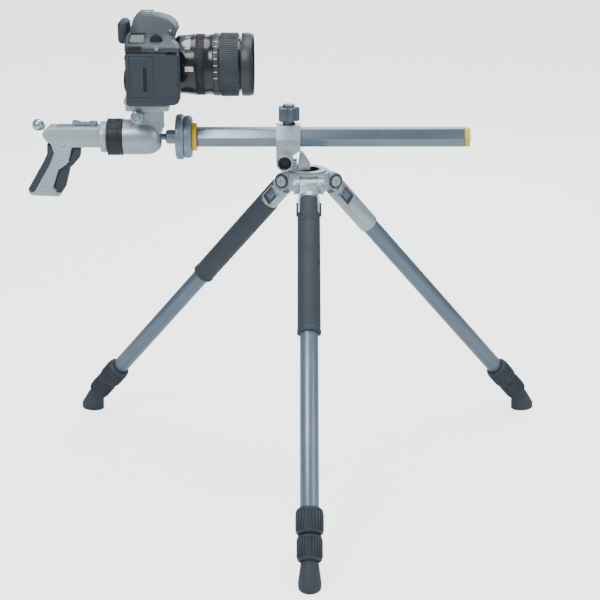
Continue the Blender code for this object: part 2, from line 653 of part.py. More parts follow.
def build_clamp_knob(tilt, screw_top):
    """Five-lobed clamp knob with its screw."""
    axis = empty("clamp_knob_axis", tilt, (COLLAR_SHIFT, 0, screw_top))
    lobes, per_lobe = 5, 8
    outline = []
    for step in range(lobes * per_lobe):
        turn = 2.0 * pi * step / (lobes * per_lobe)
        radius = CLAMP_KNOB_RADIUS - CLAMP_KNOB_LOBE * (1.0 - cos(lobes * turn))
        outline.append((radius * cos(turn), radius * sin(turn)))
    knob = plate(outline, CLAMP_KNOB_HEIGHT / 2.0)
    knob.rotation_euler = (0.0, 0.0, 0.0)
    knob.location = (0, 0, CLAMP_KNOB_NECK + CLAMP_KNOB_HEIGHT / 2.0)
    soften(knob, 0.0015, 1, 60.0)
    neck = rod((0, 0, GAP), (0, 0, CLAMP_KNOB_NECK + RUN), CLAMP_KNOB_RADIUS * 0.52, SMALL_ROUND)
    top = CLAMP_KNOB_NECK + CLAMP_KNOB_HEIGHT
    cap = rod((0, 0, top - RUN), (0, 0, top + 0.0035), CLAMP_KNOB_RADIUS * 0.53, SMALL_ROUND)
    screw = rod((0, 0, -COLLAR_WALL + GAP * 2.0), (0, 0, GAP * 3.0), CLAMP_SCREW_RADIUS,
                SMALL_ROUND)
    join(knob, axis, neck, cap, screw)
    finish(knob, "clamp_knob", "grey_paint", axis)


def build_column(tilt):
    """Hexagonal column, its end cap and the plate that carries the head."""
    origin = empty("column_slide", tilt, (-PIVOT_X, 0, PIVOT_OFFSET))
    end = COLUMN_HEAD_END + COLUMN_LENGTH
    inner = COLUMN_FLATS - 2.0 * COLUMN_WALL
    column = hexagon(COLUMN_HEAD_END, end, COLUMN_FLATS, 0.0)
    cut(column, origin, hexagon(COLUMN_HEAD_END - RUN, end + RUN, inner, 0.0))
    finish(column, "column", "anodised_tube", origin, 20.0)

    cap = hexagon(end + GAP, end + GAP + CAP_FLANGE, COLUMN_FLATS, 0.0)
    join(cap, origin, hexagon(end - CAP_SPIGOT, end + GAP * 2.0, inner - 2.0 * GAP, 0.0))
    finish(cap, "column_end_cap", "yellow_plastic", origin, 20.0)

    ring_low = COLUMN_HEAD_END - GAP - RING_THICKNESS
    bore = PLATE_SPIGOT_RADIUS + GAP
    ring = turned([(RING_RADIUS, RING_THICKNESS), (RING_RADIUS, 0.0), (bore, 0.0),
                   (bore, RING_THICKNESS)], axis="X")
    ring.location = (ring_low, 0, 0)
    finish(ring, "column_ring", "yellow_plastic", origin)

    chamfer = 0.0015
    spigot = PLATE_SPIGOT_RADIUS
    plate_disc = turned([(0.0, PLATE_SPIGOT_LENGTH), (spigot, PLATE_SPIGOT_LENGTH),
                         (spigot, 0.0), (PLATE_RADIUS - chamfer, 0.0),
                         (PLATE_RADIUS, -chamfer), (PLATE_RADIUS, -PLATE_THICKNESS),
                         (0.0, -PLATE_THICKNESS)], axis="X")
    plate_disc.location = (PLATE_FACE, 0, 0)
    finish(plate_disc, "mount_plate", "grey_paint", origin)
    return origin


# ================================================================ ball head
def ball_arc(radius, start, end, count):
    """Profile points on a sphere round the origin, angles in degrees from the axis."""
    steps = [radians(start + (end - start) * i / (count - 1)) for i in range(count)]
    return [(radius * sin(a), radius * cos(a)) for a in steps]


def build_head_base(column_origin):
    """Panning base with the fixed ball on its stem."""
    pan = empty("head_pan", column_origin, (BALL_X, 0, 0))
    face = BASE_FACE - BALL_X
    back = face - BASE_THICKNESS
    chamfer = 0.0018
    leave = degrees(asin(STEM_RADIUS / BALL_RADIUS))
    profile = [(0.0, face), (BASE_RADIUS - chamfer, face), (BASE_RADIUS, face - chamfer),
               (BASE_RADIUS, back + chamfer), (BASE_RADIUS - chamfer, back),
               (NECK_RADIUS, back), (NECK_RADIUS, BALL_DISTANCE + chamfer),
               (NECK_RADIUS - chamfer, BALL_DISTANCE), (STEM_RADIUS, BALL_DISTANCE)]
    points = ball_arc(BALL_RADIUS, leave, 180.0, 12)
    profile += points[:-1] + [(0.0, -BALL_RADIUS)]
    finish(turned(profile, axis="X"), "head_base", "grey_paint", pan)
    return pan


def build_liner(pan):
    """Friction cup between the ball and the housing."""
    tilt = empty("ball_tilt", pan)
    inner = BALL_RADIUS + GAP
    opening = degrees(TILT_SWING + asin((STEM_RADIUS + GAP) / inner)) + 2.0
    hole = 4.0                  # degrees of the vent at the back of the cup
    outside = ball_arc(LINER_RADIUS, opening, 180.0 - hole, 10)
    inside = ball_arc(inner, 180.0 - hole, opening, 10)
    shell = turned(outside + inside, ROUND, axis="X")
    finish(shell, "ball_liner", "black_plastic", tilt)
    return tilt


def build_housing(liner_tilt):
    """Head housing: barrel round the ball, tower and bed of the quick-release clamp."""
    body = empty("ball_swing", liner_tilt)
    opening = degrees(STEM_OPENING)
    rim = ball_arc(BARREL_RADIUS, opening, 90.0, 8)
    back = -BARREL_LENGTH
    spigot_end = back - FRICTION_RING_LENGTH - GAP
    profile = [(0.0, rim[0][1])] + rim
    profile += [(BARREL_RADIUS, back), (SPIGOT_RADIUS, back), (SPIGOT_RADIUS, spigot_end),
                (0.0, spigot_end)]
    housing = turned(profile, axis="X")

    bed_top = BED_TOP - COLUMN_HEIGHT
    bed_bottom = bed_top - BED_THICKNESS
    tower_left, tower_right = -0.0165, BARREL_RADIUS - 0.0015
    tower = plate([(tower_left, 0.0), (tower_right, 0.0), (tower_right, bed_top - RUN),
                   (tower_left - 0.0030, bed_top - RUN),
                   (tower_left + 0.0010, BARREL_RADIUS * 0.9)], TOWER_HALF_WIDTH)
    bed_left = -BED_LENGTH / 2.0 + 0.0030
    bed = box((bed_left, -TOWER_HALF_WIDTH, bed_bottom),
              (bed_left + BED_LENGTH, BED_HALF_WIDTH, bed_top))
    lip = box((bed_left, BED_HALF_WIDTH - RUN, bed_bottom),
              (bed_left + BED_LENGTH, BED_HALF_WIDTH + JAW_THICKNESS, bed_top + JAW_LIP_HEIGHT))
    join(housing, body, tower, bed, lip)
    funnel_end = BARREL_RADIUS * 1.4
    funnel = rod((0, 0, 0), (funnel_end, 0, 0), 0.0, ROUND, funnel_end * tan(STEM_OPENING))
    bpy.ops.mesh.primitive_uv_sphere_add(segments=24, ring_count=14,
                                         radius=CAVITY_RADIUS + GAP)
    cavity = bpy.context.object
    cavity.rotation_euler = (0, pi / 2.0, 0)
    screw_hole = rod((KNOB_X, -BED_HALF_WIDTH * 1.3, KNOB_Z),
                     (KNOB_X, TOWER_HALF_WIDTH * 0.6, KNOB_Z), QUICK_SCREW_RADIUS + GAP, 16)
    cut(housing, body, cavity, funnel, screw_hole)
    finish(housing, "head_housing", "cast_alloy", body)

    ring_bore = SPIGOT_RADIUS + GAP
    radius = FRICTION_RING_RADIUS
    chamfer = 0.0015
    ring = turned([(radius - chamfer, FRICTION_RING_LENGTH),
                   (radius, FRICTION_RING_LENGTH - chamfer), (radius, chamfer),
                   (radius - chamfer, 0.0), (ring_bore, 0.0),
                   (ring_bore, FRICTION_RING_LENGTH)], axis="X")
    ring_axis = empty("friction_ring_axis", body)
    ring.location = (back - GAP - FRICTION_RING_LENGTH, 0, 0)
    finish(ring, "friction_ring", "black_rubber", ring_axis)
    build_quick_release(body, bed_left, bed_bottom, bed_top)
    return body


def build_quick_release(body, bed_left, bed_bottom, bed_top):
    """Moving jaw, clamp screw and the plate under the camera."""
    jaw_outer = -BED_HALF_WIDTH - JAW_THICKNESS
    jaw_inner = -BED_HALF_WIDTH
    slide = empty("clamp_jaw_slide", body)
    jaw = box((bed_left, jaw_outer, bed_bottom),
              (bed_left + BED_LENGTH, jaw_inner, bed_top + JAW_LIP_HEIGHT))
    boss = box((KNOB_X - 0.0065, jaw_outer, KNOB_Z - 0.0060),
               (KNOB_X + 0.0065, jaw_inner, bed_bottom + RUN))
    key = box((bed_left + RUN, jaw_inner - RUN, bed_bottom + RUN),
              (bed_left + BED_LENGTH - RUN, -TOWER_HALF_WIDTH - RUN, bed_top - RUN))
    join(jaw, slide, boss, key)
    hole = rod((KNOB_X, jaw_outer - RUN, KNOB_Z), (KNOB_X, jaw_inner + RUN, KNOB_Z),
               QUICK_SCREW_RADIUS + GAP, 16)
    cut(jaw, slide, hole)
    finish(jaw, "clamp_jaw", "machined_alloy", slide)

    axis = empty("clamp_screw_axis", slide, (KNOB_X, 0, KNOB_Z))
    knob_face = jaw_outer - GAP
    screw = rod((0, knob_face - QUICK_KNOB_LENGTH, 0), (0, knob_face, 0), QUICK_KNOB_RADIUS,
                SMALL_ROUND)
    soften(screw, 0.0012, 1)
    join(screw, axis, rod((0, knob_face - RUN, 0), (0, -TOWER_HALF_WIDTH * 0.2, 0),
                          QUICK_SCREW_RADIUS, 16))
    finish(screw, "clamp_screw", "machined_alloy", axis)

    bottom = bed_top + GAP
    left = bed_left - 0.0030
    quick_plate = box((left, -PLATE_HALF_WIDTH, bottom),
                      (left + QUICK_PLATE_LENGTH, PLATE_HALF_WIDTH,
                       bottom + QUICK_PLATE_THICKNESS))
    soften(quick_plate, 0.0012, 1)
    finish(quick_plate, "quick_release_plate", "grey_paint", body)


# ================================================================ pistol grip
def trigger_line(rear):
    """Line between the grip and the trigger, from the heel of the grip upwards."""
    return [(rear + 0.0095, -0.0790), (rear + 0.0039, -0.0713), (rear + 0.0130, -0.0455),
            (rear + 0.0257, -0.0371), (rear + 0.0303, -0.0251), (rear + 0.0321, -0.0177)]


def pad_line(rear):
    """Line between the grip and its back pad, from the top down."""
    return [(rear + 0.0032, -0.0085), (rear + 0.0068, -0.0205), (rear + 0.0005, -0.0344),
            (rear - 0.0231, -0.0759)]


def build_grip(body):
    """Grip body with its collar, back pad and trigger."""
    face = GRIP_FACE - BALL_X
    rear = face - GRIP_LENGTH
    front = face - GRIP_COLLAR_LENGTH * 0.6
    line = trigger_line(rear)
    outline = [(front, GRIP_TOP), (rear + 0.0010, GRIP_TOP), (rear - 0.0070, 0.0085),
               (rear - 0.0084, 0.0044), (rear - 0.0021, -0.0049)]
    outline += pad_line(rear)
    outline += [(rear - 0.0330, -0.0765), (rear - 0.0280, -0.0830), (rear + 0.0120, -0.0845),
                (rear + 0.0165, -0.0798)]
    outline += line
    outline += [(rear + 0.0330, GRIP_BOTTOM), (front, GRIP_BOTTOM)]
    grip = plate(outline, GRIP_HALF_WIDTH)
    soften(grip, 0.0030, 2, 50.0)
    collar = turned([(0.0, 0.0), (GRIP_COLLAR_RADIUS, 0.0),
                     (GRIP_COLLAR_RADIUS, -GRIP_COLLAR_LENGTH), (0.0, -GRIP_COLLAR_LENGTH)],
                    axis="X")
    collar.location = (face, 0, 0)
    slot_top, slot_front = GRIP_BOTTOM - 0.0008, rear + 0.0600
    depths = (0.0030, 0.0075, 0.0075, 0.0075, 0.0058)
    slot_outline = [(slot_front, slot_top), (slot_front, line[0][1])]
    slot_outline += [(x - depth, z) for depth, (x, z) in zip(depths, line)]
    slot_outline += [(line[-1][0] - 0.0036, slot_top)]
    slot = plate(slot_outline, TRIGGER_HALF_WIDTH + RUN)
    join(grip, body, collar)
    cut(grip, body, slot)
    finish(grip, "grip_body", "cast_alloy", body)

    seam = GAP * 2.0
    pad_points = [(rear + 0.0022, -0.0097)] + [(x - seam, z) for x, z in pad_line(rear)[1:3]]
    pad_points += [(rear - 0.0237, -0.0750), (rear - 0.0319, -0.0735), (rear - 0.0075, -0.0325),
                   (rear - 0.0021, -0.0215), (rear - 0.0015, -0.0075)]
    pad = plate(pad_points, PAD_HALF_WIDTH)
    soften(pad, 0.0012, 1, 50.0)
    finish(pad, "grip_back_pad", "soft_rubber", body)

    pivot_x, pivot_z = rear + 0.0360, -0.0170
    trigger_axis = empty("trigger_axis", body, (pivot_x, 0, pivot_z))
    outline = [(rear + 0.0112, -0.0782)] + [(x + seam, z) for x, z in line[1:]]
    outline += [(rear + 0.0330, -0.0141), (rear + 0.0447, -0.0141), (rear + 0.0429, -0.0289),
                (rear + 0.0348, -0.0381), (rear + 0.0284, -0.0436), (rear + 0.0203, -0.0731),
                (rear + 0.0166, -0.0777)]
    trigger = plate([(x - pivot_x, z - pivot_z) for x, z in outline], TRIGGER_HALF_WIDTH)
    soften(trigger, 0.0010, 1, 50.0)
    finish(trigger, "trigger", "soft_rubber", trigger_axis)
    build_grip_controls(body, rear)


def build_grip_controls(body, rear):
    """Ball-shaped rear knob and the thumb switch on top of the grip."""
    slant = Vector((-0.90, 0.0, 0.44)).normalized()
    knob_axis = empty("rear_knob_axis", body, (rear - 0.0040, 0, GRIP_TOP - 0.0040))
    knob_axis.rotation_mode = "QUATERNION"
    knob_axis.rotation_quaternion = slant.to_track_quat("Z", "Y")
    stem, centre = 0.0042, 0.0118
    leave = degrees(asin(stem / REAR_KNOB_RADIUS))
    points = [(r, h + centre) for r, h in ball_arc(REAR_KNOB_RADIUS, 0.0, 180.0 - leave, 9)]
    points[0] = (0.0, centre + REAR_KNOB_RADIUS)
    foot = 0.0018
    knob = turned(points + [(stem, foot), (0.0, foot)], SMALL_ROUND)
    finish(knob, "rear_knob", "machined_alloy", knob_axis)

    base = GRIP_TOP + GAP
    switch_axis = empty("switch_axis", body, (rear + 0.0640, 0, base))
    switch = rod((0, 0, 0), (0, 0, 0.0062), SWITCH_HALF_WIDTH, 16)
    lever = plate([(0.0, 0.0012), (0.0, 0.0046), (-0.0170, 0.0052), (-0.0270, 0.0078),
                   (-0.0300, 0.0070), (-0.0300, 0.0036), (-0.0170, 0.0012)],
                  SWITCH_HALF_WIDTH * 0.75)
    join(switch, switch_axis, lever)
    finish(switch, "grip_switch", "machined_alloy", switch_axis)


# ================================================================ camera
def build_camera(body):
    """Camera body, top cover, finder eyecup and the controls that move."""
    origin = empty("camera_origin", body,
                   (CAMERA_BACK, 0.0, CAMERA_BASE - COLUMN_HEIGHT))
    low_y, high_y = CAMERA_SIDE, CAMERA_SIDE + CAMERA_WIDTH
    split = CAMERA_BODY_HEIGHT
    grip_front = CAMERA_DEPTH + CAMERA_GRIP_DEPTH
    shell = box((0, low_y, 0), (CAMERA_DEPTH, high_y, split))
    soften(shell, 0.0060, 2)
    hand_grip = box((CAMERA_DEPTH * 0.4, low_y, 0.0),
                    (grip_front, low_y + HAND_GRIP_WIDTH, split))
    soften(hand_grip, 0.0080, 3)
    mount = rod((CAMERA_DEPTH - 0.004, 0, LENS_AXIS_HEIGHT),
                (CAMERA_DEPTH + MOUNT_LENGTH, 0, LENS_AXIS_HEIGHT), MOUNT_RADIUS)
    join(shell, origin, hand_grip, mount)
    level = box((-0.02, low_y - 0.01, split - 0.0065), (grip_front + 0.02, high_y + 0.01,
                                                        split + 0.01))
    door_top, door_bottom = split * 0.86, split * 0.16
    door_back, door_front = CAMERA_DEPTH * 0.10, CAMERA_DEPTH * 0.66
    depth = CARD_DOOR_THICKNESS + GAP
    recess = box((door_back, low_y - 0.01, door_bottom),
                 (door_front, low_y + depth, door_top))
    cut(shell, origin, level, recess)
    finish(shell, "camera_body", "camera_shell", origin)

    hinge = empty("card_door_hinge", origin, (door_front - GAP, low_y, 0))
    door_length = door_front - door_back - GAP * 2.0
    door = box((-door_length, 0.0, door_bottom + GAP),
               (0.0, CARD_DOOR_THICKNESS, door_top - GAP))
    soften(door, 0.0006, 1)
    finish(door, "card_door", "camera_shell", hinge)
    build_top_cover(origin, split - 0.0065 + GAP, grip_front)


def build_top_cover(origin, split, grip_front):
    """Top cover with the prism hump and shoe, eyecup, shutter button and command dial."""
    low_y, high_y = CAMERA_SIDE, CAMERA_SIDE + CAMERA_WIDTH
    deck = CAMERA_SHOULDER_HEIGHT
    under = split - 0.0080
    top = box((0.0, low_y, under), (CAMERA_DEPTH, high_y, deck))
    soften(top, 0.0040, 2)
    hump_top = CAMERA_HEIGHT - SHOE_HEIGHT
    over_lens = LENS_AXIS_HEIGHT + LENS_REAR_RADIUS + RUN * 2.0
    hump = plate([(0.0060, under), (CAMERA_DEPTH - SHAVE, under),
                  (CAMERA_DEPTH - SHAVE, over_lens), (CAMERA_DEPTH + 0.0085, over_lens + 0.002),
                  (CAMERA_DEPTH + 0.0040, hump_top - 0.0120),
                  (CAMERA_DEPTH - 0.0100, hump_top - 0.0040), (CAMERA_DEPTH - 0.0300, hump_top),
                  (0.0100, hump_top), (0.0010, deck + 0.0040)], PRISM_HALF_WIDTH)
    soften(hump, 0.0070, 2, 50.0)
    cheek = plate([(CAMERA_DEPTH * 0.4, under), (grip_front, under),
                   (grip_front, split + 0.0030), (CAMERA_DEPTH * 0.85, deck - 0.0020),
                   (CAMERA_DEPTH * 0.4, deck - 0.0020)], HAND_GRIP_WIDTH / 2.0 - GAP,
                  low_y + HAND_GRIP_WIDTH / 2.0)
    soften(cheek, 0.0040, 2, 50.0)
    shoe = box((0.0150, -SHOE_HALF_WIDTH, hump_top - 0.0010),
               (0.0340, SHOE_HALF_WIDTH, CAMERA_HEIGHT))
    join(top, origin, hump, cheek, shoe)
    level = box((-0.02, low_y - 0.01, under - 0.02), (grip_front + 0.02, high_y + 0.01, split))
    button_x, button_y = CAMERA_DEPTH + 0.0020, low_y + HAND_GRIP_WIDTH * 0.45
    button_radius, button_travel = 0.0055, 0.0012
    well_floor = split + 0.0026
    well = rod((button_x, button_y, well_floor), (button_x, button_y, deck + 0.01),
               button_radius + GAP, SMALL_ROUND)
    dial_x, dial_radius, dial_half = CAMERA_DEPTH * 0.72, 0.0085, 0.0050
    dial_z = deck - 0.0055
    slot = box((dial_x - dial_radius - RUN, button_y - dial_half - RUN,
                dial_z - dial_radius - RUN),
               (dial_x + dial_radius + RUN, button_y + dial_half + RUN, deck + 0.01))
    cut(top, origin, level, well, slot)
    finish(top, "top_cover", "camera_shell", origin)

    button_low = well_floor + button_travel + GAP
    button = rod((0, 0, 0), (0, 0, 0.0075), button_radius, SMALL_ROUND)
    soften(button, 0.0008, 1)
    button_axis = empty("shutter_button_axis", origin, (button_x, button_y, button_low))
    finish(button, "shutter_button", "black_plastic", button_axis)
    dial_axis = empty("main_dial_axis", origin, (dial_x, button_y, dial_z))
    dial = rod((0, -dial_half, 0), (0, dial_half, 0), dial_radius, SMALL_ROUND)
    finish(dial, "main_dial", "black_plastic", dial_axis)

    cup_low, cup_high = deck - 0.0180, deck + 0.0140
    cup = box((-0.0150, -0.0210, cup_low), (-GAP, 0.0210, cup_high))
    soften(cup, 0.0050, 2)
    window = box((-0.02, -0.0130, cup_low + 0.0080), (-0.0060, 0.0130, cup_high - 0.0080))
    cut(cup, origin, window)
    finish(cup, "eyecup", "soft_rubber", origin)


# ================================================================ lens
def build_lens(body):
    """Zoom lens: barrel, focus ring, zoom ring and the front group that extends."""
    origin = empty("lens_origin", body, (LENS_X - BALL_X, 0, LENS_Z - COLUMN_HEIGHT))
    focus_start = LENS_REAR_LENGTH
    focus_end = focus_start + FOCUS_RING_LENGTH
    zoom_start = focus_end + WAIST_LENGTH
    zoom_end = zoom_start + ZOOM_RING_LENGTH
    front_start = LENS_LENGTH - FRONT_RING_LENGTH
    core_end = zoom_end + (front_start - zoom_end) / 2.0
    bore = CORE_RADIUS - CORE_WALL
    floor = 0.0060
    profile = [(bore, core_end), (CORE_RADIUS, core_end), (CORE_RADIUS, zoom_start),
               (LENS_RADIUS - 0.0010, zoom_start), (WAIST_RADIUS, zoom_start - 0.0090),
               (WAIST_RADIUS, focus_end), (CORE_RADIUS, focus_end), (CORE_RADIUS, focus_start),
               (WAIST_RADIUS, focus_start), (LENS_REAR_RADIUS, 0.0060),
               (LENS_REAR_RADIUS - 0.0040, 0.0), (0.0, 0.0)]
    barrel = turned([(0.0, floor), (bore, floor)] + profile, LENS_ROUND, axis="X")
    finish(barrel, "lens_barrel", "black_plastic", origin)

    for name, start, end, radius in (("focus_ring", focus_start, focus_end, WAIST_RADIUS),
                                     ("zoom_ring", zoom_start, zoom_end, LENS_RADIUS)):
        inner = CORE_RADIUS + GAP
        high, low = end - start - GAP, GAP
        lip = 0.0006
        ring = turned([(radius - lip, high), (radius, high - lip), (radius, low + lip),
                       (radius - lip, low), (inner, low), (inner, high)], LENS_ROUND, axis="X")
        axis = empty(name + "_axis", origin, (start, 0, 0))
        finish(ring, name, "black_rubber", axis)

    front = empty("front_slide", origin)
    tube = bore - GAP * 1.5
    inner = tube - INNER_TUBE_WALL
    seat = LENS_LENGTH - HOOD_DEPTH - GLASS_THICKNESS
    tube_start = focus_end
    glass_bore = GLASS_RADIUS + GAP
    lip = 0.0015
    profile = [(LENS_RADIUS - 0.0015 - lip, LENS_LENGTH), (LENS_RADIUS - 0.0010, LENS_LENGTH - lip),
               (LENS_RADIUS - 0.0010, front_start), (tube, front_start), (tube, tube_start),
               (inner - 0.004, tube_start), (inner - 0.004, seat - RUN), (glass_bore, seat - RUN),
               (glass_bore, LENS_LENGTH - HOOD_DEPTH + RUN)]
    profile += [(glass_bore + 0.0070, LENS_LENGTH)]
    finish(turned(profile, LENS_ROUND, axis="X"), "front_barrel", "black_plastic", front)

    dome = 0.0022
    face = LENS_LENGTH - HOOD_DEPTH
    glass = turned([(0.0, face), (GLASS_RADIUS * 0.5, face - dome * 0.25),
                    (GLASS_RADIUS * 0.8, face - dome * 0.64), (GLASS_RADIUS, face - dome),
                    (GLASS_RADIUS, seat), (0.0, seat)], LENS_ROUND, axis="X")
    finish(glass, "front_glass", "lens_glass", front)


# ================================================================ assembly
def settle(stand):
    """Move the stand so that the origin is the bottom centre of the whole model."""
    bpy.context.view_layer.update()
    graph = bpy.context.evaluated_depsgraph_get()
    low, high = Vector((1e9,) * 3), Vector((-1e9,) * 3)
    for obj in MODEL.objects:
        if obj.type != "MESH":
            continue
        for corner in obj.evaluated_get(graph).bound_box:
            place = obj.matrix_world @ Vector(corner)
            low = Vector(map(min, low, place))
            high = Vector(map(max, high, place))
    stand.location = (-(low.x + high.x) / 2.0, -(low.y + high.y) / 2.0, -low.z)
    bpy.context.view_layer.update()


def main():
    """Build every sub-part."""
    stand = empty("stand", None)
    build_shoulder(stand)
    for name, azimuth in LEG_AZIMUTHS.items():
        build_leg(stand, name, azimuth)
    swivel = build_swivel(stand)
    tilt = build_column_clamp(swivel)
    column = build_column(tilt)
    pan = build_head_base(column)
    liner = build_liner(pan)
    head = build_housing(liner)
    build_grip(head)
    build_camera(head)
    build_lens(head)
    settle(stand)


clear_scene()
MODEL = make_collection("camera_on_tripod")
GUIDES = make_collection("cutters")
MATERIALS = make_materials()
main()
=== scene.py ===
import json
from math import cos, pi, radians, sin

import bmesh
import bpy
from mathutils import Matrix, Vector


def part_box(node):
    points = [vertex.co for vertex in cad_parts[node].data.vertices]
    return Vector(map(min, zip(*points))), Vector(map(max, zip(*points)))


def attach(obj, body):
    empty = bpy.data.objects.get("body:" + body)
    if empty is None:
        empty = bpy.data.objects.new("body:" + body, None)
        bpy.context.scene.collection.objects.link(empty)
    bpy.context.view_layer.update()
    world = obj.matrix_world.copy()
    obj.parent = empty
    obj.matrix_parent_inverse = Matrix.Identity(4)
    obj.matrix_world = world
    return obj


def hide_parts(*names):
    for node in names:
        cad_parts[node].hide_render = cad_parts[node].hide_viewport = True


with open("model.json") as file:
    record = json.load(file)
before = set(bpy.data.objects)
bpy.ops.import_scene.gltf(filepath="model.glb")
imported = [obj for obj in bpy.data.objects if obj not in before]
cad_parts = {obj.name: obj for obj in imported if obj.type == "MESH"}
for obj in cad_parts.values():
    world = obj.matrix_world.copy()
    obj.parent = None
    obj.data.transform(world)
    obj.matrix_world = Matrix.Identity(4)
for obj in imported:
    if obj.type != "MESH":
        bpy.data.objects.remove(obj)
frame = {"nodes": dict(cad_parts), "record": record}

bl_info = {
    "name": "Camera on Tripod",
    "version": (1, 0, 0),
    "blender": (4, 5, 0),
    "location": "3D View > Sidebar > Camera Stand",
    "description": "Reflex camera on a pistol-grip ball head and a tripod with a level column",
    "category": "Add Mesh",
}

JOINTS = {joint["name"]: joint for joint in frame["record"]["behaviour"]["joints"]}
LEGS = ("front", "right", "left")
PADDED_LEGS = ("front", "left")
FINISHES = {}
FLOOR_GLOW = 2.2


def joint_pos(name):
    """Where a joint's axis passes, in the row frame."""
    return Vector(JOINTS[name]["pos_m"])


def joint_axis(name):
    """Which way a joint's axis points."""
    return Vector(JOINTS[name]["axis"]).normalized()


CENTRE = joint_pos("swivel_turn")
COLUMN_Z = joint_pos("column_tilt").z + 0.034
BALL = joint_pos("head_pan")
GRIP_REAR = -0.3568532
LENS = joint_pos("zoom_turn")
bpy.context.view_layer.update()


# ================================================================ sizes and colours
class LegSizes(bpy.types.PropertyGroup):
    """Sizes of the legs"""
    tube_radius: bpy.props.FloatProperty(
        name="Tube radius", description="Outer radius of the upper leg tube",
        default=0.0125, unit="LENGTH")
    lock_radius: bpy.props.FloatProperty(
        name="Lock radius", description="Radius of the upper twist lock over its ribs",
        default=0.0185, unit="LENGTH")
    lower_lock_radius: bpy.props.FloatProperty(
        name="Lower lock radius", description="Radius of the lower twist lock over its ribs",
        default=0.0170, unit="LENGTH")
    lock_ribs: bpy.props.IntProperty(
        name="Lock ribs", description="Number of ribs round each twist lock", default=24)
    sleeve_radius: bpy.props.FloatProperty(
        name="Sleeve radius", description="Outer radius of the rubber leg sleeve",
        default=0.0159, unit="LENGTH")


class HeadSizes(bpy.types.PropertyGroup):
    """Sizes of the column and the ball head"""
    column_flats: bpy.props.FloatProperty(
        name="Column flats", description="Distance across the flats of the hexagonal column",
        default=0.0262, unit="LENGTH")
    ring_ribs: bpy.props.IntProperty(
        name="Ring ribs", description="Number of ribs round the friction ring", default=44)


class LensSizes(bpy.types.PropertyGroup):
    """Sizes of the zoom lens"""
    radius: bpy.props.FloatProperty(
        name="Radius", description="Radius of the lens at its zoom ring", default=0.0442,
        unit="LENGTH")


class StandColours(bpy.types.PropertyGroup):
    """Main colours of the camera and its stand"""
    silver: bpy.props.FloatVectorProperty(
        name="Silver", description="Painted castings of the head and the legs",
        default=(0.36, 0.44, 0.49, 1.0), size=4, subtype="COLOR")
    tube: bpy.props.FloatVectorProperty(
        name="Tube", description="Anodised tubes", default=(0.15, 0.20, 0.25, 1.0), size=4,
        subtype="COLOR")
    rubber: bpy.props.FloatVectorProperty(
        name="Rubber", description="Rubber grips and sleeves", default=(0.032, 0.047, 0.064, 1.0),
        size=4, subtype="COLOR")
    shell: bpy.props.FloatVectorProperty(
        name="Shell", description="Moulded shell of the camera", default=(0.040, 0.058, 0.078, 1.0),
        size=4, subtype="COLOR")
    yellow: bpy.props.FloatVectorProperty(
        name="Yellow", description="Ring and plug of the column", default=(0.92, 0.60, 0.02, 1.0),
        size=4, subtype="COLOR")


# ================================================================ effects shared by finishes
def new_group(name, inputs, outputs):
    """Start a shader node group with named sockets."""
    group = bpy.data.node_groups.new(name, "ShaderNodeTree")
    for label, kind, value in inputs:
        socket = group.interface.new_socket(label, in_out="INPUT", socket_type=kind)
        socket.default_value = value
    for label, kind in outputs:
        group.interface.new_socket(label, in_out="OUTPUT", socket_type=kind)
    return group, group.nodes.new("NodeGroupInput"), group.nodes.new("NodeGroupOutput")


def noise_on(group, source, scale_socket, detail, stretch=None):
    """Noise on object coordinates inside a group."""
    place = group.nodes.new("ShaderNodeTexCoord")
    noise = group.nodes.new("ShaderNodeTexNoise")
    noise.inputs["Detail"].default_value = detail
    if stretch is None:
        group.links.new(place.outputs["Object"], noise.inputs["Vector"])
    else:
        group.links.new(source.outputs[stretch], noise.inputs["Vector"])
    group.links.new(source.outputs[scale_socket], noise.inputs["Scale"])
    return noise


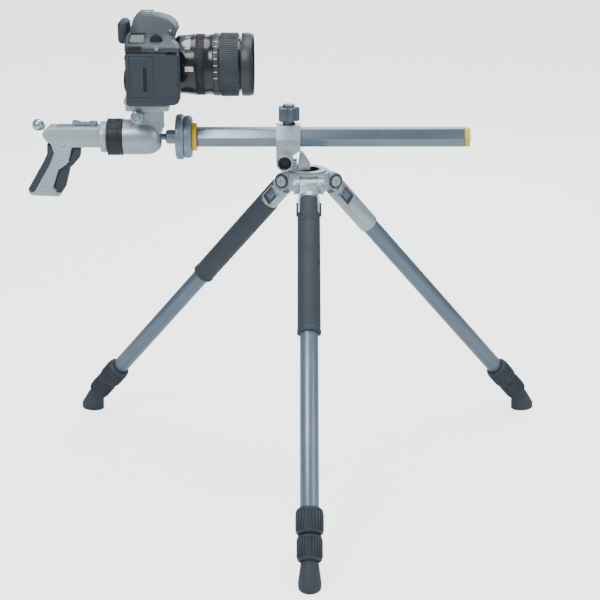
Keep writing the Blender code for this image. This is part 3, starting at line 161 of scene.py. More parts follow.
def make_effects():
    """Groups for colour drift, gloss drift, grain, brushing and worn edges, whose lightened convex
    edges are partly wear and partly a painted highlight.
    """
    colour, number, vector = "NodeSocketColor", "NodeSocketFloat", "NodeSocketVector"
    effects = {}

    group, source, target = new_group("Colour drift", [
        ("Light", colour, (1, 1, 1, 1)), ("Dark", colour, (0, 0, 0, 1)), ("Scale", number, 20.0)],
        [("Colour", colour)])
    noise = noise_on(group, source, "Scale", 5.0)
    spread = group.nodes.new("ShaderNodeMapRange")
    spread.inputs["From Min"].default_value = 0.35
    spread.inputs["From Max"].default_value = 0.65
    mix = group.nodes.new("ShaderNodeMix")
    mix.data_type = "RGBA"
    group.links.new(noise.outputs["Fac"], spread.inputs["Value"])
    group.links.new(spread.outputs["Result"], mix.inputs["Factor"])
    group.links.new(source.outputs["Dark"], mix.inputs["A"])
    group.links.new(source.outputs["Light"], mix.inputs["B"])
    group.links.new(mix.outputs["Result"], target.inputs["Colour"])
    effects["colour"] = group

    group, source, target = new_group("Gloss drift", [
        ("Low", number, 0.3), ("High", number, 0.5), ("Scale", number, 60.0)],
        [("Roughness", number)])
    noise = noise_on(group, source, "Scale", 4.0)
    spread = group.nodes.new("ShaderNodeMapRange")
    group.links.new(noise.outputs["Fac"], spread.inputs["Value"])
    group.links.new(source.outputs["Low"], spread.inputs["To Min"])
    group.links.new(source.outputs["High"], spread.inputs["To Max"])
    group.links.new(spread.outputs["Result"], target.inputs["Roughness"])
    effects["gloss"] = group

    group, source, target = new_group("Grain", [
        ("Scale", number, 900.0), ("Pebble Scale", number, 500.0), ("Pebble", number, 0.0)],
        [("Height", number)])
    noise = noise_on(group, source, "Scale", 3.0)
    place = group.nodes.new("ShaderNodeTexCoord")
    pebble = group.nodes.new("ShaderNodeTexVoronoi")
    pebble.feature = "SMOOTH_F1"
    pebble.inputs["Smoothness"].default_value = 0.6
    amount = group.nodes.new("ShaderNodeMath")
    amount.operation = "MULTIPLY"
    total = group.nodes.new("ShaderNodeMath")
    total.operation = "SUBTRACT"
    group.links.new(place.outputs["Object"], pebble.inputs["Vector"])
    group.links.new(source.outputs["Pebble Scale"], pebble.inputs["Scale"])
    group.links.new(pebble.outputs["Distance"], amount.inputs[0])
    group.links.new(source.outputs["Pebble"], amount.inputs[1])
    group.links.new(noise.outputs["Fac"], total.inputs[0])
    group.links.new(amount.outputs["Value"], total.inputs[1])
    group.links.new(total.outputs["Value"], target.inputs["Height"])
    effects["grain"] = group

    group, source, target = new_group("Drawn lines", [
        ("Vector", vector, (0, 0, 0)), ("Scale", number, 1.0)], [("Height", number)])
    noise = noise_on(group, source, "Scale", 2.0, "Vector")
    group.links.new(noise.outputs["Fac"], target.inputs["Height"])
    effects["lines"] = group

    group, source, target = new_group("Worn edges", [
        ("Base", colour, (0, 0, 0, 1)), ("Worn", colour, (1, 1, 1, 1)), ("Amount", number, 0.3),
        ("Scale", number, 120.0)], [("Colour", colour)])
    # Convex edges, found by pointiness, are mixed toward a much lighter colour: partly wear, partly
    # a painted highlight on the edges.
    shape = group.nodes.new("ShaderNodeNewGeometry")
    edge = group.nodes.new("ShaderNodeMapRange")
    edge.inputs["From Min"].default_value = 0.515
    edge.inputs["From Max"].default_value = 0.60
    noise = noise_on(group, source, "Scale", 4.0)
    patch = group.nodes.new("ShaderNodeMath")
    patch.operation = "MULTIPLY"
    strength = group.nodes.new("ShaderNodeMath")
    strength.operation = "MULTIPLY"
    mix = group.nodes.new("ShaderNodeMix")
    mix.data_type = "RGBA"
    group.links.new(shape.outputs["Pointiness"], edge.inputs["Value"])
    group.links.new(edge.outputs["Result"], patch.inputs[0])
    group.links.new(noise.outputs["Fac"], patch.inputs[1])
    group.links.new(patch.outputs["Value"], strength.inputs[0])
    group.links.new(source.outputs["Amount"], strength.inputs[1])
    group.links.new(strength.outputs["Value"], mix.inputs["Factor"])
    group.links.new(source.outputs["Base"], mix.inputs["A"])
    group.links.new(source.outputs["Worn"], mix.inputs["B"])
    group.links.new(mix.outputs["Result"], target.inputs["Colour"])
    effects["wear_and_highlight"] = group
    return effects


def shade(colour, factor):
    """A colour made lighter or darker."""
    return tuple(min(1.0, part * factor) for part in colour[:3]) + (1.0,)


def make_finish(name, effects, colour, drift=0.12, drift_scale=18.0, rough=(0.35, 0.5),
                metallic=0.0, grain=900.0, pebble=0.0, pebble_scale=500.0, bump=0.08,
                depth=0.0004, wear_and_highlight=0.25, coat=0.0, lines=None):
    """One procedural finish with drifting colour, gloss, grain, and worn edges that are partly a
    painted highlight.
    """
    material = bpy.data.materials.new(name)
    material.use_nodes = True
    tree = material.node_tree
    shader = tree.nodes["Principled BSDF"]
    shader.inputs["Metallic"].default_value = metallic
    shader.inputs["Coat Weight"].default_value = coat
    shader.inputs["Coat Roughness"].default_value = 0.15

    def place_group(key, **values):
        node = tree.nodes.new("ShaderNodeGroup")
        node.node_tree = effects[key]
        for label, value in values.items():
            node.inputs[label.replace("_", " ")].default_value = value
        return node

    drifting = place_group("colour", Light=shade(colour, 1.0 + drift),
                           Dark=shade(colour, 1.0 - drift), Scale=drift_scale)
    # Edge colour is 2.2 times the base colour: partly wear, partly a painted highlight.
    worn_and_highlit = place_group("wear_and_highlight", Worn=shade(colour, 2.2), Amount=wear_and_highlight)
    gloss = place_group("gloss", Low=rough[0], High=rough[1], Scale=70.0)
    tree.links.new(drifting.outputs["Colour"], worn_and_highlit.inputs["Base"])
    tree.links.new(worn_and_highlit.outputs["Colour"], shader.inputs["Base Color"])
    tree.links.new(gloss.outputs["Roughness"], shader.inputs["Roughness"])
    relief = tree.nodes.new("ShaderNodeBump")
    relief.inputs["Strength"].default_value = bump
    relief.inputs["Distance"].default_value = depth
    if lines is None:
        texture = place_group("grain", Scale=grain, Pebble=pebble, Pebble_Scale=pebble_scale)
    else:
        turn, stretch = lines
        place = tree.nodes.new("ShaderNodeTexCoord")
        mapping = tree.nodes.new("ShaderNodeMapping")
        mapping.vector_type = "TEXTURE"
        mapping.inputs["Rotation"].default_value = turn
        mapping.inputs["Scale"].default_value = stretch
        texture = place_group("lines", Scale=1.0)
        tree.links.new(place.outputs["Object"], mapping.inputs["Vector"])
        tree.links.new(mapping.outputs["Vector"], texture.inputs["Vector"])
    tree.links.new(texture.outputs["Height"], relief.inputs["Height"])
    tree.links.new(relief.outputs["Normal"], shader.inputs["Normal"])
    FINISHES[name] = material
    return shader


def leg_frame(name):
    """Matrix of a leg: origin on its hinge, X along the hinge pin, Z up along the leg."""
    up = -joint_axis("middle_extend_" + name)
    pin = joint_axis("leg_spread_" + name)
    turn = Matrix((pin, up.cross(pin), up)).transposed()
    return Matrix.Translation(joint_pos("leg_spread_" + name)) @ turn.to_4x4()


def make_finishes(colours):
    """Every finish on the object."""
    effects = make_effects()
    silver, tube, rubber = colours.silver[:], colours.tube[:], colours.rubber[:]
    shell = colours.shell[:]
    make_finish("silver_coat", effects, silver, drift=0.06, rough=(0.30, 0.42), metallic=0.55,
                grain=1400.0, bump=0.10, depth=0.0002, wear_and_highlight=0.35)
    make_finish("grip_coat", effects, shade(silver, 1.12), drift=0.05, rough=(0.34, 0.46),
                metallic=0.30, grain=1600.0, bump=0.16, depth=0.0002, wear_and_highlight=0.25)
    make_finish("machined_silver", effects, shade(silver, 1.15), drift=0.04, rough=(0.20, 0.30),
                metallic=0.90, grain=2000.0, bump=0.03, depth=0.0001, wear_and_highlight=0.2)
    make_finish("dark_anodised", effects, shade(tube, 0.75), drift=0.08, rough=(0.34, 0.46),
                metallic=0.70, grain=1600.0, bump=0.06, depth=0.0002, wear_and_highlight=0.5)
    make_finish("column_anodised", effects, shade(tube, 1.25), drift=0.04, rough=(0.24, 0.34),
                metallic=0.85, bump=0.10, depth=0.0001, wear_and_highlight=0.3,
                lines=((0.0, 0.0, 0.0), (0.05, 0.0006, 0.0006)))
    make_finish("disc_grey", effects, shade(tube, 1.45), drift=0.06, rough=(0.32, 0.44),
                metallic=0.60, grain=1500.0, bump=0.06, depth=0.0002, wear_and_highlight=0.5)
    # Very dark grey used as painted shade: the back legs' hinge bosses and the bottom of the latch
    # windows.
    make_finish("shade_grey", effects, shade(tube, 0.30), drift=0.10, rough=(0.30, 0.42),
                metallic=0.20, grain=1500.0, bump=0.06, depth=0.0002, wear_and_highlight=0.4)
    for name in LEGS:
        turn = leg_frame(name).to_euler()
        # Each leg has its own copy of the tube finish; the front leg's copy is 1.3 times lighter:
        # painted light on the lit front leg, not a different anodising.
        make_finish("tube_anodised_" + name, effects, shade(tube, 1.3 if name == "front" else 1.0),
                    drift=0.05, rough=(0.30, 0.42), metallic=0.75, bump=0.10, depth=0.0001,
                    wear_and_highlight=0.3, lines=(turn, (0.0006, 0.0006, 0.05)))
    make_finish("matt_rubber", effects, rubber, drift=0.10, rough=(0.55, 0.72), grain=1100.0,
                bump=0.25, depth=0.0003, wear_and_highlight=0.25)
    make_finish("lock_rubber", effects, shade(rubber, 0.75), drift=0.10, rough=(0.50, 0.66),
                grain=1300.0, bump=0.25, depth=0.0003, wear_and_highlight=0.35)
    make_finish("black_rubber", effects, (0.012, 0.015, 0.020, 1.0), drift=0.2,
                rough=(0.38, 0.55), grain=1300.0, bump=0.15, depth=0.0002, wear_and_highlight=0.3)
    make_finish("zoom_rubber", effects, (0.035, 0.046, 0.058, 1.0), drift=0.12,
                rough=(0.45, 0.6), grain=1300.0, bump=0.15, depth=0.0002, wear_and_highlight=0.3)
    # Grey, lighter than the black barrel: partly the window's own glossy colour, partly a painted
    # reflection of the light on it.
    make_finish("window_glass_painted_sheen", effects, (0.10, 0.13, 0.15, 1.0), drift=0.2, drift_scale=60.0,
                rough=(0.06, 0.12), metallic=0.6, grain=300.0, bump=0.01, depth=0.0001, wear_and_highlight=0.0,
                coat=0.8)
    make_finish("black_gloss", effects, (0.010, 0.012, 0.016, 1.0), drift=0.1,
                rough=(0.16, 0.26), grain=1500.0, bump=0.04, depth=0.0001, wear_and_highlight=0.3, coat=0.3)
    make_finish("lens_satin", effects, (0.030, 0.040, 0.050, 1.0), drift=0.1,
                rough=(0.34, 0.44), grain=1800.0, bump=0.10, depth=0.0002, wear_and_highlight=0.3)
    make_finish("camera_shell", effects, shell, drift=0.08, rough=(0.40, 0.52), grain=1500.0,
                pebble=0.5, pebble_scale=1500.0, bump=0.20, depth=0.0002, wear_and_highlight=0.3)
    make_finish("camera_hide", effects, shade(shell, 0.80), drift=0.10, rough=(0.50, 0.62),
                grain=700.0, pebble=1.0, pebble_scale=650.0, bump=0.45, depth=0.0004, wear_and_highlight=0.2)
    make_finish("camera_black", effects, (0.010, 0.012, 0.015, 1.0), drift=0.15,
                rough=(0.35, 0.5), grain=1500.0, bump=0.1, depth=0.0002, wear_and_highlight=0.3)
    make_finish("yellow_plastic", effects, colours.yellow[:], drift=0.05, rough=(0.30, 0.40),
                grain=1500.0, bump=0.05, depth=0.0001, wear_and_highlight=0.1, coat=0.15)
    make_finish("white_mark", effects, (0.85, 0.88, 0.90, 1.0), drift=0.02, rough=(0.4, 0.5),
                grain=1500.0, bump=0.02, depth=0.0001, wear_and_highlight=0.0)
    make_finish("gold_mark", effects, (0.75, 0.55, 0.20, 1.0), drift=0.05, rough=(0.3, 0.4),
                metallic=0.6, grain=1500.0, bump=0.02, depth=0.0001, wear_and_highlight=0.1)
    make_finish("display", effects, (0.16, 0.21, 0.20, 1.0), drift=0.03, rough=(0.12, 0.18),
                grain=300.0, bump=0.01, depth=0.0001, wear_and_highlight=0.0, coat=0.6)
    glass = make_finish("lens_glass", effects, (0.010, 0.014, 0.030, 1.0), drift=0.4,
                        drift_scale=12.0, rough=(0.03, 0.06), grain=40.0, bump=0.01,
                        depth=0.0001, wear_and_highlight=0.0, coat=1.0)
    glass.inputs["Coat Tint"].default_value = (0.62, 0.50, 0.95, 1.0)
    make_finish("floor_paper", effects, (0.92, 0.93, 0.94, 1.0), drift=0.01, drift_scale=0.7,
                rough=(0.7, 0.85), grain=40.0, bump=0.02, depth=0.0002, wear_and_highlight=0.0)
    light_floor()


def light_floor():
    """Let the paper glow a little to the eye only, so that it stays pale far away."""
    tree = FINISHES["floor_paper"].node_tree
    shader = tree.nodes["Principled BSDF"]
    path = tree.nodes.new("ShaderNodeLightPath")
    glow = tree.nodes.new("ShaderNodeMath")
    glow.operation = "MULTIPLY"
    glow.inputs[1].default_value = FLOOR_GLOW
    shader.inputs["Emission Color"].default_value = (0.97, 0.98, 1.0, 1.0)
    tree.links.new(path.outputs["Is Camera Ray"], glow.inputs[0])
    tree.links.new(glow.outputs["Value"], shader.inputs["Emission Strength"])


# ================================================================ shapes
def along(start, end):
    """Matrix that lays a shape's Z axis from start towards end."""
    start, end = Vector(start), Vector(end)
    turn = Vector((0, 0, 1)).rotation_difference(end - start).to_matrix().to_4x4()
    return Matrix.Translation(start) @ turn


AXIS_X = Matrix(((0, 0, 1, 0), (0, 1, 0, 0), (-1, 0, 0, 0), (0, 0, 0, 1)))


def at(x, y, z, turn=None):
    """Matrix that moves a shape to a place, after an optional turn."""
    place = Matrix.Translation((x, y, z))
    return place if turn is None else place @ turn


def joined(*meshes):
    """Several bmeshes as one."""
    whole = meshes[0]
    for other in meshes[1:]:
        data = bpy.data.meshes.new("part")
        other.to_mesh(data)
        other.free()
        whole.from_mesh(data)
        bpy.data.meshes.remove(data)
    return whole


def moved(mesh, matrix):
    """Move a bmesh, and turn its faces out again if the matrix mirrors it."""
    bmesh.ops.transform(mesh, matrix=matrix, verts=mesh.verts)
    if matrix.determinant() < 0:
        bmesh.ops.reverse_faces(mesh, faces=mesh.faces)
    return mesh


def softened(mesh, width, segments=2, angle=30.0):
    """Bevel the edges that are sharper than the angle."""
    sharp = [edge for edge in mesh.edges
             if len(edge.link_faces) == 2 and edge.calc_face_angle(0.0) > radians(angle)]
    if width and sharp:
        bmesh.ops.bevel(mesh, geom=sharp, offset=width, offset_type="OFFSET", affect="EDGES",
                        segments=segments, profile=0.5, material=-1, clamp_overlap=True)
    return mesh


def lathe(outline, steps=64, closed=False, soften=0.0, segments=2):
    """Spin a (radius, height) outline round Z."""
    mesh = bmesh.new()
    points = [mesh.verts.new((radius, 0.0, height)) for radius, height in outline]
    pairs = list(zip(points, points[1:]))
    if closed:
        pairs.append((points[-1], points[0]))
    lines = [mesh.edges.new(pair) for pair in pairs]
    bmesh.ops.spin(mesh, geom=points + lines, cent=(0, 0, 0), axis=(0, 0, 1), angle=2.0 * pi,
                   steps=steps, use_merge=True)
    bmesh.ops.remove_doubles(mesh, verts=mesh.verts, dist=1e-6)
    bmesh.ops.recalc_face_normals(mesh, faces=mesh.faces)
    return softened(mesh, soften, segments)


def block(low, high, soften=0.0, segments=2):
    """Box between two corners."""
    low, high = Vector(low), Vector(high)
    mesh = bmesh.new()
    bmesh.ops.create_cube(mesh, size=1.0)
    place = Matrix.Translation((low + high) / 2.0) @ Matrix.Diagonal((*(high - low), 1.0))
    bmesh.ops.transform(mesh, verts=mesh.verts, matrix=place)
    return softened(mesh, soften, segments)


def rod(start, end, radius, end_radius=None, sides=32, soften=0.0, segments=2):
    """Cylinder or cone between two points."""
    start, end = Vector(start), Vector(end)
    mesh = bmesh.new()
    length = (end - start).length
    bmesh.ops.create_cone(mesh, cap_ends=True, cap_tris=False, segments=sides, radius1=radius,
                          radius2=radius if end_radius is None else end_radius, depth=length)
    bmesh.ops.transform(mesh, matrix=Matrix.Translation((0, 0, length / 2.0)), verts=mesh.verts)
    moved(mesh, along(start, end))
    return softened(mesh, soften, segments, 50.0)


def slab(outline, low, high, axis="Y", soften=0.0, segments=2, angle=30.0):
    """Extrude a flat outline between two planes across an axis."""
    mesh = bmesh.new()
    if axis == "Y":
        points = [mesh.verts.new((a, low, b)) for a, b in outline]
        travel = Vector((0, high - low, 0))
    elif axis == "X":
        points = [mesh.verts.new((low, a, b)) for a, b in outline]
        travel = Vector((high - low, 0, 0))
    else:
        points = [mesh.verts.new((a, b, low)) for a, b in outline]
        travel = Vector((0, 0, high - low))
    face = mesh.faces.new(points)
    made = bmesh.ops.extrude_face_region(mesh, geom=[face])
    fresh = [item for item in made["geom"] if isinstance(item, bmesh.types.BMVert)]
    bmesh.ops.translate(mesh, vec=travel, verts=fresh)
    bmesh.ops.recalc_face_normals(mesh, faces=mesh.faces)
    return softened(mesh, soften, segments, angle)


def repeated(mesh, count):
    """Copies of a shape all the way round Z."""
    bmesh.ops.spin(mesh, geom=mesh.verts[:] + mesh.edges[:] + mesh.faces[:], cent=(0, 0, 0),
                   axis=(0, 0, 1), angle=2.0 * pi * (count - 1) / count, steps=count - 1,
                   use_duplicate=True, use_merge=False)
    return mesh


def ribs(radius, bottom, top, count, width, height):
    """Ribs along Z round a cylinder."""
    rib = block((radius - height, -width / 2.0, bottom), (radius, width / 2.0, top),
                min(width, height) * 0.4, 1)
    return repeated(rib, count)


def from_node(node, soften=0.0, segments=2, angle=32.0):
    """Merged copy of a CAD node's mesh with softened edges."""
    mesh = bmesh.new()
    mesh.from_mesh(frame["nodes"][node].data)
    bmesh.ops.remove_doubles(mesh, verts=mesh.verts, dist=2e-6)
    bmesh.ops.dissolve_limit(mesh, angle_limit=radians(0.6), verts=mesh.verts, edges=mesh.edges)
    return softened(mesh, soften, segments, angle)


def temporary(mesh):
    """Object that holds a bmesh while a Boolean uses it."""
    data = bpy.data.meshes.new("temporary")
    mesh.to_mesh(data)
    mesh.free()
    obj = bpy.data.objects.new("temporary", data)
    bpy.context.scene.collection.objects.link(obj)
    return obj


def combined(mesh, others, operation="DIFFERENCE"):
    """Exact Boolean of one bmesh with others, as a new bmesh."""
    base = temporary(mesh)
    tools = [temporary(other) for other in others]
    for tool in tools:
        modifier = base.modifiers.new("cut", "BOOLEAN")
        modifier.operation = operation
        modifier.solver = "EXACT"
        modifier.object = tool
    bpy.context.view_layer.update()
    graph = bpy.context.evaluated_depsgraph_get()
    data = bpy.data.meshes.new_from_object(base.evaluated_get(graph))
    result = bmesh.new()
    result.from_mesh(data)
    bpy.data.meshes.remove(data)
    for obj in [base] + tools:
        data = obj.data
        bpy.data.objects.remove(obj)
        bpy.data.meshes.remove(data)
    bmesh.ops.dissolve_limit(result, angle_limit=radians(0.5), verts=result.verts,
                             edges=result.edges)
    return result


def sliced(mesh, point, normal):
    """Cut away what lies on the normal's side of a plane, and close the cut."""
    made = bmesh.ops.bisect_plane(mesh, geom=mesh.verts[:] + mesh.edges[:] + mesh.faces[:],
                                  dist=1e-6, plane_co=point, plane_no=normal, clear_outer=True)
    rim = [item for item in made["geom_cut"] if isinstance(item, bmesh.types.BMEdge)]
    bmesh.ops.edgenet_fill(mesh, edges=rim)
    bmesh.ops.recalc_face_normals(mesh, faces=mesh.faces)
    return mesh


def band(inner, outer, start, end, low, high, steps=24, soften=0.0):
    """Part of a ring round Z, from one angle to another."""
    mesh = bmesh.new()
    corners = [(inner, low), (outer, low), (outer, high), (inner, high)]
    points = [mesh.verts.new((radius, 0.0, height)) for radius, height in corners]
    face = mesh.faces.new(points)
    bmesh.ops.rotate(mesh, verts=points, matrix=Matrix.Rotation(start, 3, "Z"))
    bmesh.ops.spin(mesh, geom=points + face.edges[:] + [face], cent=(0, 0, 0), axis=(0, 0, 1),
                   angle=end - start, steps=steps)
    bmesh.ops.recalc_face_normals(mesh, faces=mesh.faces)
    return softened(mesh, soften, 2, 50.0)


def piece(name, mesh, body, slot, finish, *nodes, smooth=38.0):
    """Make a finished object of a bmesh, hang it on the body it rides on and hide the CAD nodes it
    replaces.
    """
    data = bpy.data.meshes.new(name)
    mesh.to_mesh(data)
    mesh.free()
    obj = bpy.data.objects.new(name, data)
    bpy.context.scene.collection.objects.link(obj)
    data.materials.append(FINISHES[finish])
    data.shade_smooth()
    data.set_sharp_from_angle(angle=radians(smooth))
    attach(obj, body)
    if nodes:
        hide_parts(*nodes)
    return obj


def coat(node, finish):
    """Give a CAD node that keeps its own shape a procedural finish."""
    data = frame["nodes"][node].data
    data.materials.clear()
    data.materials.append(FINISHES[finish])


# ================================================================ legs
class STAND_OT_legs(bpy.types.Operator):
    """Tubes, twist locks, boots, castings and sleeves of the three legs"""
    bl_idname = "stand.legs"
    bl_label = "Legs"

    def execute(self, context):
        sizes = context.scene.leg_sizes
        for name in LEGS:
            build_leg(name, sizes)
        return {"FINISHED"}


SOCKET_START, TUBE_END = 0.0510, 0.4910
LOCK_TOP, LOCK_LENGTH = 0.4714, 0.0348
LOCK_LOWER_TOP = 0.5065
ANKLE = 0.5579


def build_leg(name, sizes):
    """One leg, all in the frame of its hinge."""
    frame_of_leg = leg_frame(name)
    tube = "tube_anodised_" + name
    wall = 0.0014
    starts = (SOCKET_START, SOCKET_START + 0.016, SOCKET_START + 0.032)
    ends = (TUBE_END, LOCK_LOWER_TOP + 0.0196, ANKLE - 0.0050)
    bodies = ("leg_", "leg_middle_", "leg_lower_")
    for index, section in enumerate(("upper", "middle", "lower")):
        radius = sizes.tube_radius - index * (wall + 0.0003)
        outline = [(radius, -ends[index]), (radius, -starts[index]),
                   (radius - wall, -starts[index]), (radius - wall, -ends[index])]
        piece("tube_%s_%s_skin" % (section, name),
              moved(lathe(outline, 56, closed=True, soften=0.0003), frame_of_leg),
              bodies[index] + name, "anodised_tube", tube, "tube_%s_%s" % (section, name))
    build_lock("upper", name, frame_of_leg, LOCK_TOP, sizes.lock_radius, sizes.tube_radius, sizes)
    build_lock("lower", name, frame_of_leg, LOCK_LOWER_TOP, sizes.lower_lock_radius,
               sizes.tube_radius - 0.0017, sizes)
    mark = block((-0.0016, sizes.tube_radius - 0.0002, -LOCK_TOP + 0.0045),
                 (0.0016, sizes.tube_radius + 0.0003, -LOCK_TOP + 0.0120), 0.0002, 1)
    turn = Matrix.Rotation(pi if name == "front" else 0.0, 4, "Z")
    piece("tube_mark_" + name, moved(mark, frame_of_leg @ turn), "leg_" + name,
          "yellow_plastic", "gold_mark")
    piece("foot_%s_boot" % name, from_node("foot_" + name, 0.0022, 3, 25.0), "leg_lower_" + name,
          "black_rubber", "matt_rubber", "foot_" + name)
    build_window(name, frame_of_leg)
    build_hinge(name, frame_of_leg)
    if name in PADDED_LEGS:
        build_sleeve(name, frame_of_leg, sizes)


def build_window(name, frame_of_leg):
    """Lipped window of the angle latch on both sides of the leg casting, a dark plate of painted
    shade at the bottom of each window, and the latch.
    """
    middle, half_length, half_width, lip = -0.0345, 0.0125, 0.0080, 0.0013
    latch = from_node("angle_latch_" + name, 0.0006, 2)
    outline = [(-half_width, middle - half_length), (half_width, middle - half_length + 0.0030),
               (half_width, middle + half_length), (-half_width, middle + half_length - 0.0045)]
    rim_outline = [(y + lip * (1.0 if y > 0.0 else -1.0), z + lip * (1.0 if z > middle else -1.0))
                   for y, z in outline]
    cutters, ends = [], []
    for number, side in enumerate((-1.0, 1.0)):
        near, far = sorted((side * 0.0119, side * 0.0200))
        cutters.append(moved(slab(outline, near, far, "X"), frame_of_leg))
        low, high = sorted((side * 0.0100, side * 0.0151))
        rim = combined(slab(rim_outline, low, high, "X"), [slab(outline, near, far, "X")])
        piece("latch_window_%s_%d" % (name, number), moved(softened(rim, 0.0004, 2), frame_of_leg),
              "leg_" + name, "cast_alloy", "silver_coat")
        # Dark plate at the bottom of the window pocket: painted shade.
        low, high = sorted((side * 0.0117, side * 0.0123))
        piece("latch_recess_%s_%d" % (name, number),
              moved(slab(outline, low, high, "X"), frame_of_leg), "leg_" + name,
              "black_plastic", "shade_grey")
        low, high = sorted((side * 0.0124, side * 0.0140))
        ends.append(block((low, -0.0050, middle - 0.0052), (high, 0.0060, middle + 0.0092),
                          0.0006, 2))
    casting = combined(from_node("leg_casting_" + name), cutters)
    piece("leg_casting_%s_shell" % name, softened(casting, 0.0006, 2, 32.0), "leg_" + name,
          "cast_alloy", "silver_coat", "leg_casting_" + name)
    piece("angle_latch_%s_bar" % name, joined(latch, *[moved(end, frame_of_leg) for end in ends]),
          "angle_latch_" + name, "grey_paint", "dark_anodised", "angle_latch_" + name)


def build_hinge(name, frame_of_leg):
    """Pin ends on both ears of a leg hinge; on the two back legs the ears get dark bosses, painted
    shade.
    """
    for number, side in enumerate((-1.0, 1.0)):
        turn = frame_of_leg @ (AXIS_X if side > 0.0 else AXIS_X @ Matrix.Rotation(pi, 4, "X"))
        face = 0.0216
        # Dark grey bosses on the back legs' ears: painted shade where these ears fall in shade.
        if name != "front":
            boss = lathe([(0.0030, 0.0132), (0.0119, 0.0132), (0.0119, face - 0.0012),
                          (0.0106, face + 0.0006), (0.0030, face + 0.0006)], 48, closed=True,
                         soften=0.0006)
            piece("hinge_boss_%s_%d" % (name, number), moved(boss, turn), "stand",
                  "black_plastic", "shade_grey")
            face += 0.0006
        cap = lathe([(0.0, face - 0.0010), (0.0072, face - 0.0010), (0.0072, face + 0.0007),
                     (0.0062, face + 0.0012), (0.0056, face + 0.0012), (0.0053, face + 0.0009),
                     (0.0022, face + 0.0009), (0.0020, face - 0.0002), (0.0, face - 0.0002)], 48)
        piece("hinge_pin_cap_%s_%d" % (name, number), moved(cap, turn), "stand",
              "machined_alloy", "silver_coat")


def build_lock(which, name, frame_of_leg, start, radius, inner, sizes):
    """Twist lock with a smooth top ring and ribbed grip."""
    core = radius - 0.0009
    end = start + LOCK_LENGTH
    outline = [(core - 0.0022, -end), (core, -end + 0.0022), (core, -end + 0.0040),
               (core - 0.0006, -end + 0.0048), (core - 0.0006, -start - 0.0060),
               (core, -start - 0.0052), (core, -start - 0.0030), (core - 0.0030, -start),
               (inner + 0.0005, -start), (inner + 0.0005, -end)]
    grip = lathe(outline, 64, closed=True, soften=0.0003)
    flutes = ribs(radius, -end + 0.0044, -start - 0.0056, sizes.lock_ribs, radius * 0.16, 0.0024)
    body = "lock_%s_%s" % (which, name)
    piece(body + "_grip", moved(joined(grip, flutes), frame_of_leg), body, "black_rubber",
          "lock_rubber", body)


def build_sleeve(name, frame_of_leg, sizes):
    """Rubber sleeve that climbs the casting, with a bead and a flared end."""
    outer = sizes.sleeve_radius
    piece("leg_sleeve_%s_pad" % name, from_node("leg_sleeve_" + name, 0.0008, 2),
          "leg_" + name, "soft_rubber", "matt_rubber", "leg_sleeve_" + name)
    if name == "front":
        collar = lathe([(outer, -0.0600), (outer - 0.0003, -0.0225), (outer - 0.0010, -0.0215),
                        (0.0147, -0.0215), (0.0147, -0.0600)], 56, closed=True, soften=0.0003)
        pads = [block((side * 0.0164 - 0.0014, -0.0060, -0.0460),
                      (side * 0.0164 + 0.0014, 0.0060, -0.0290), 0.0011, 2)
                for side in (-1.0, 1.0)]
        collar = joined(collar, *pads)
    else:
        collar = band(0.0148, outer, radians(32.0), radians(148.0), -0.0600, -0.0205, 32, 0.0004)
        bmesh.ops.recalc_face_normals(collar, faces=collar.faces)
    piece("leg_sleeve_%s_collar" % name, moved(collar, frame_of_leg), "leg_" + name,
          "soft_rubber", "matt_rubber")
    flare = lathe([(outer - 0.0004, -0.2262), (outer + 0.0007, -0.2262), (outer + 0.0007, -0.2225),
                   (outer - 0.0001, -0.2195), (outer - 0.0004, -0.2195)], 56, closed=True,
                  soften=0.0003)
    piece("leg_sleeve_%s_bead" % name, moved(flare, frame_of_leg), "leg_" + name,
          "soft_rubber", "matt_rubber")


# ================================================================ shoulder, swivel and clamp
ARC_START, ARC_END = radians(50.0), radians(104.0)
ARC_RADII = (0.0128, 0.0146, 0.0164, 0.0182)
CLAMP_TOP = 0.5142


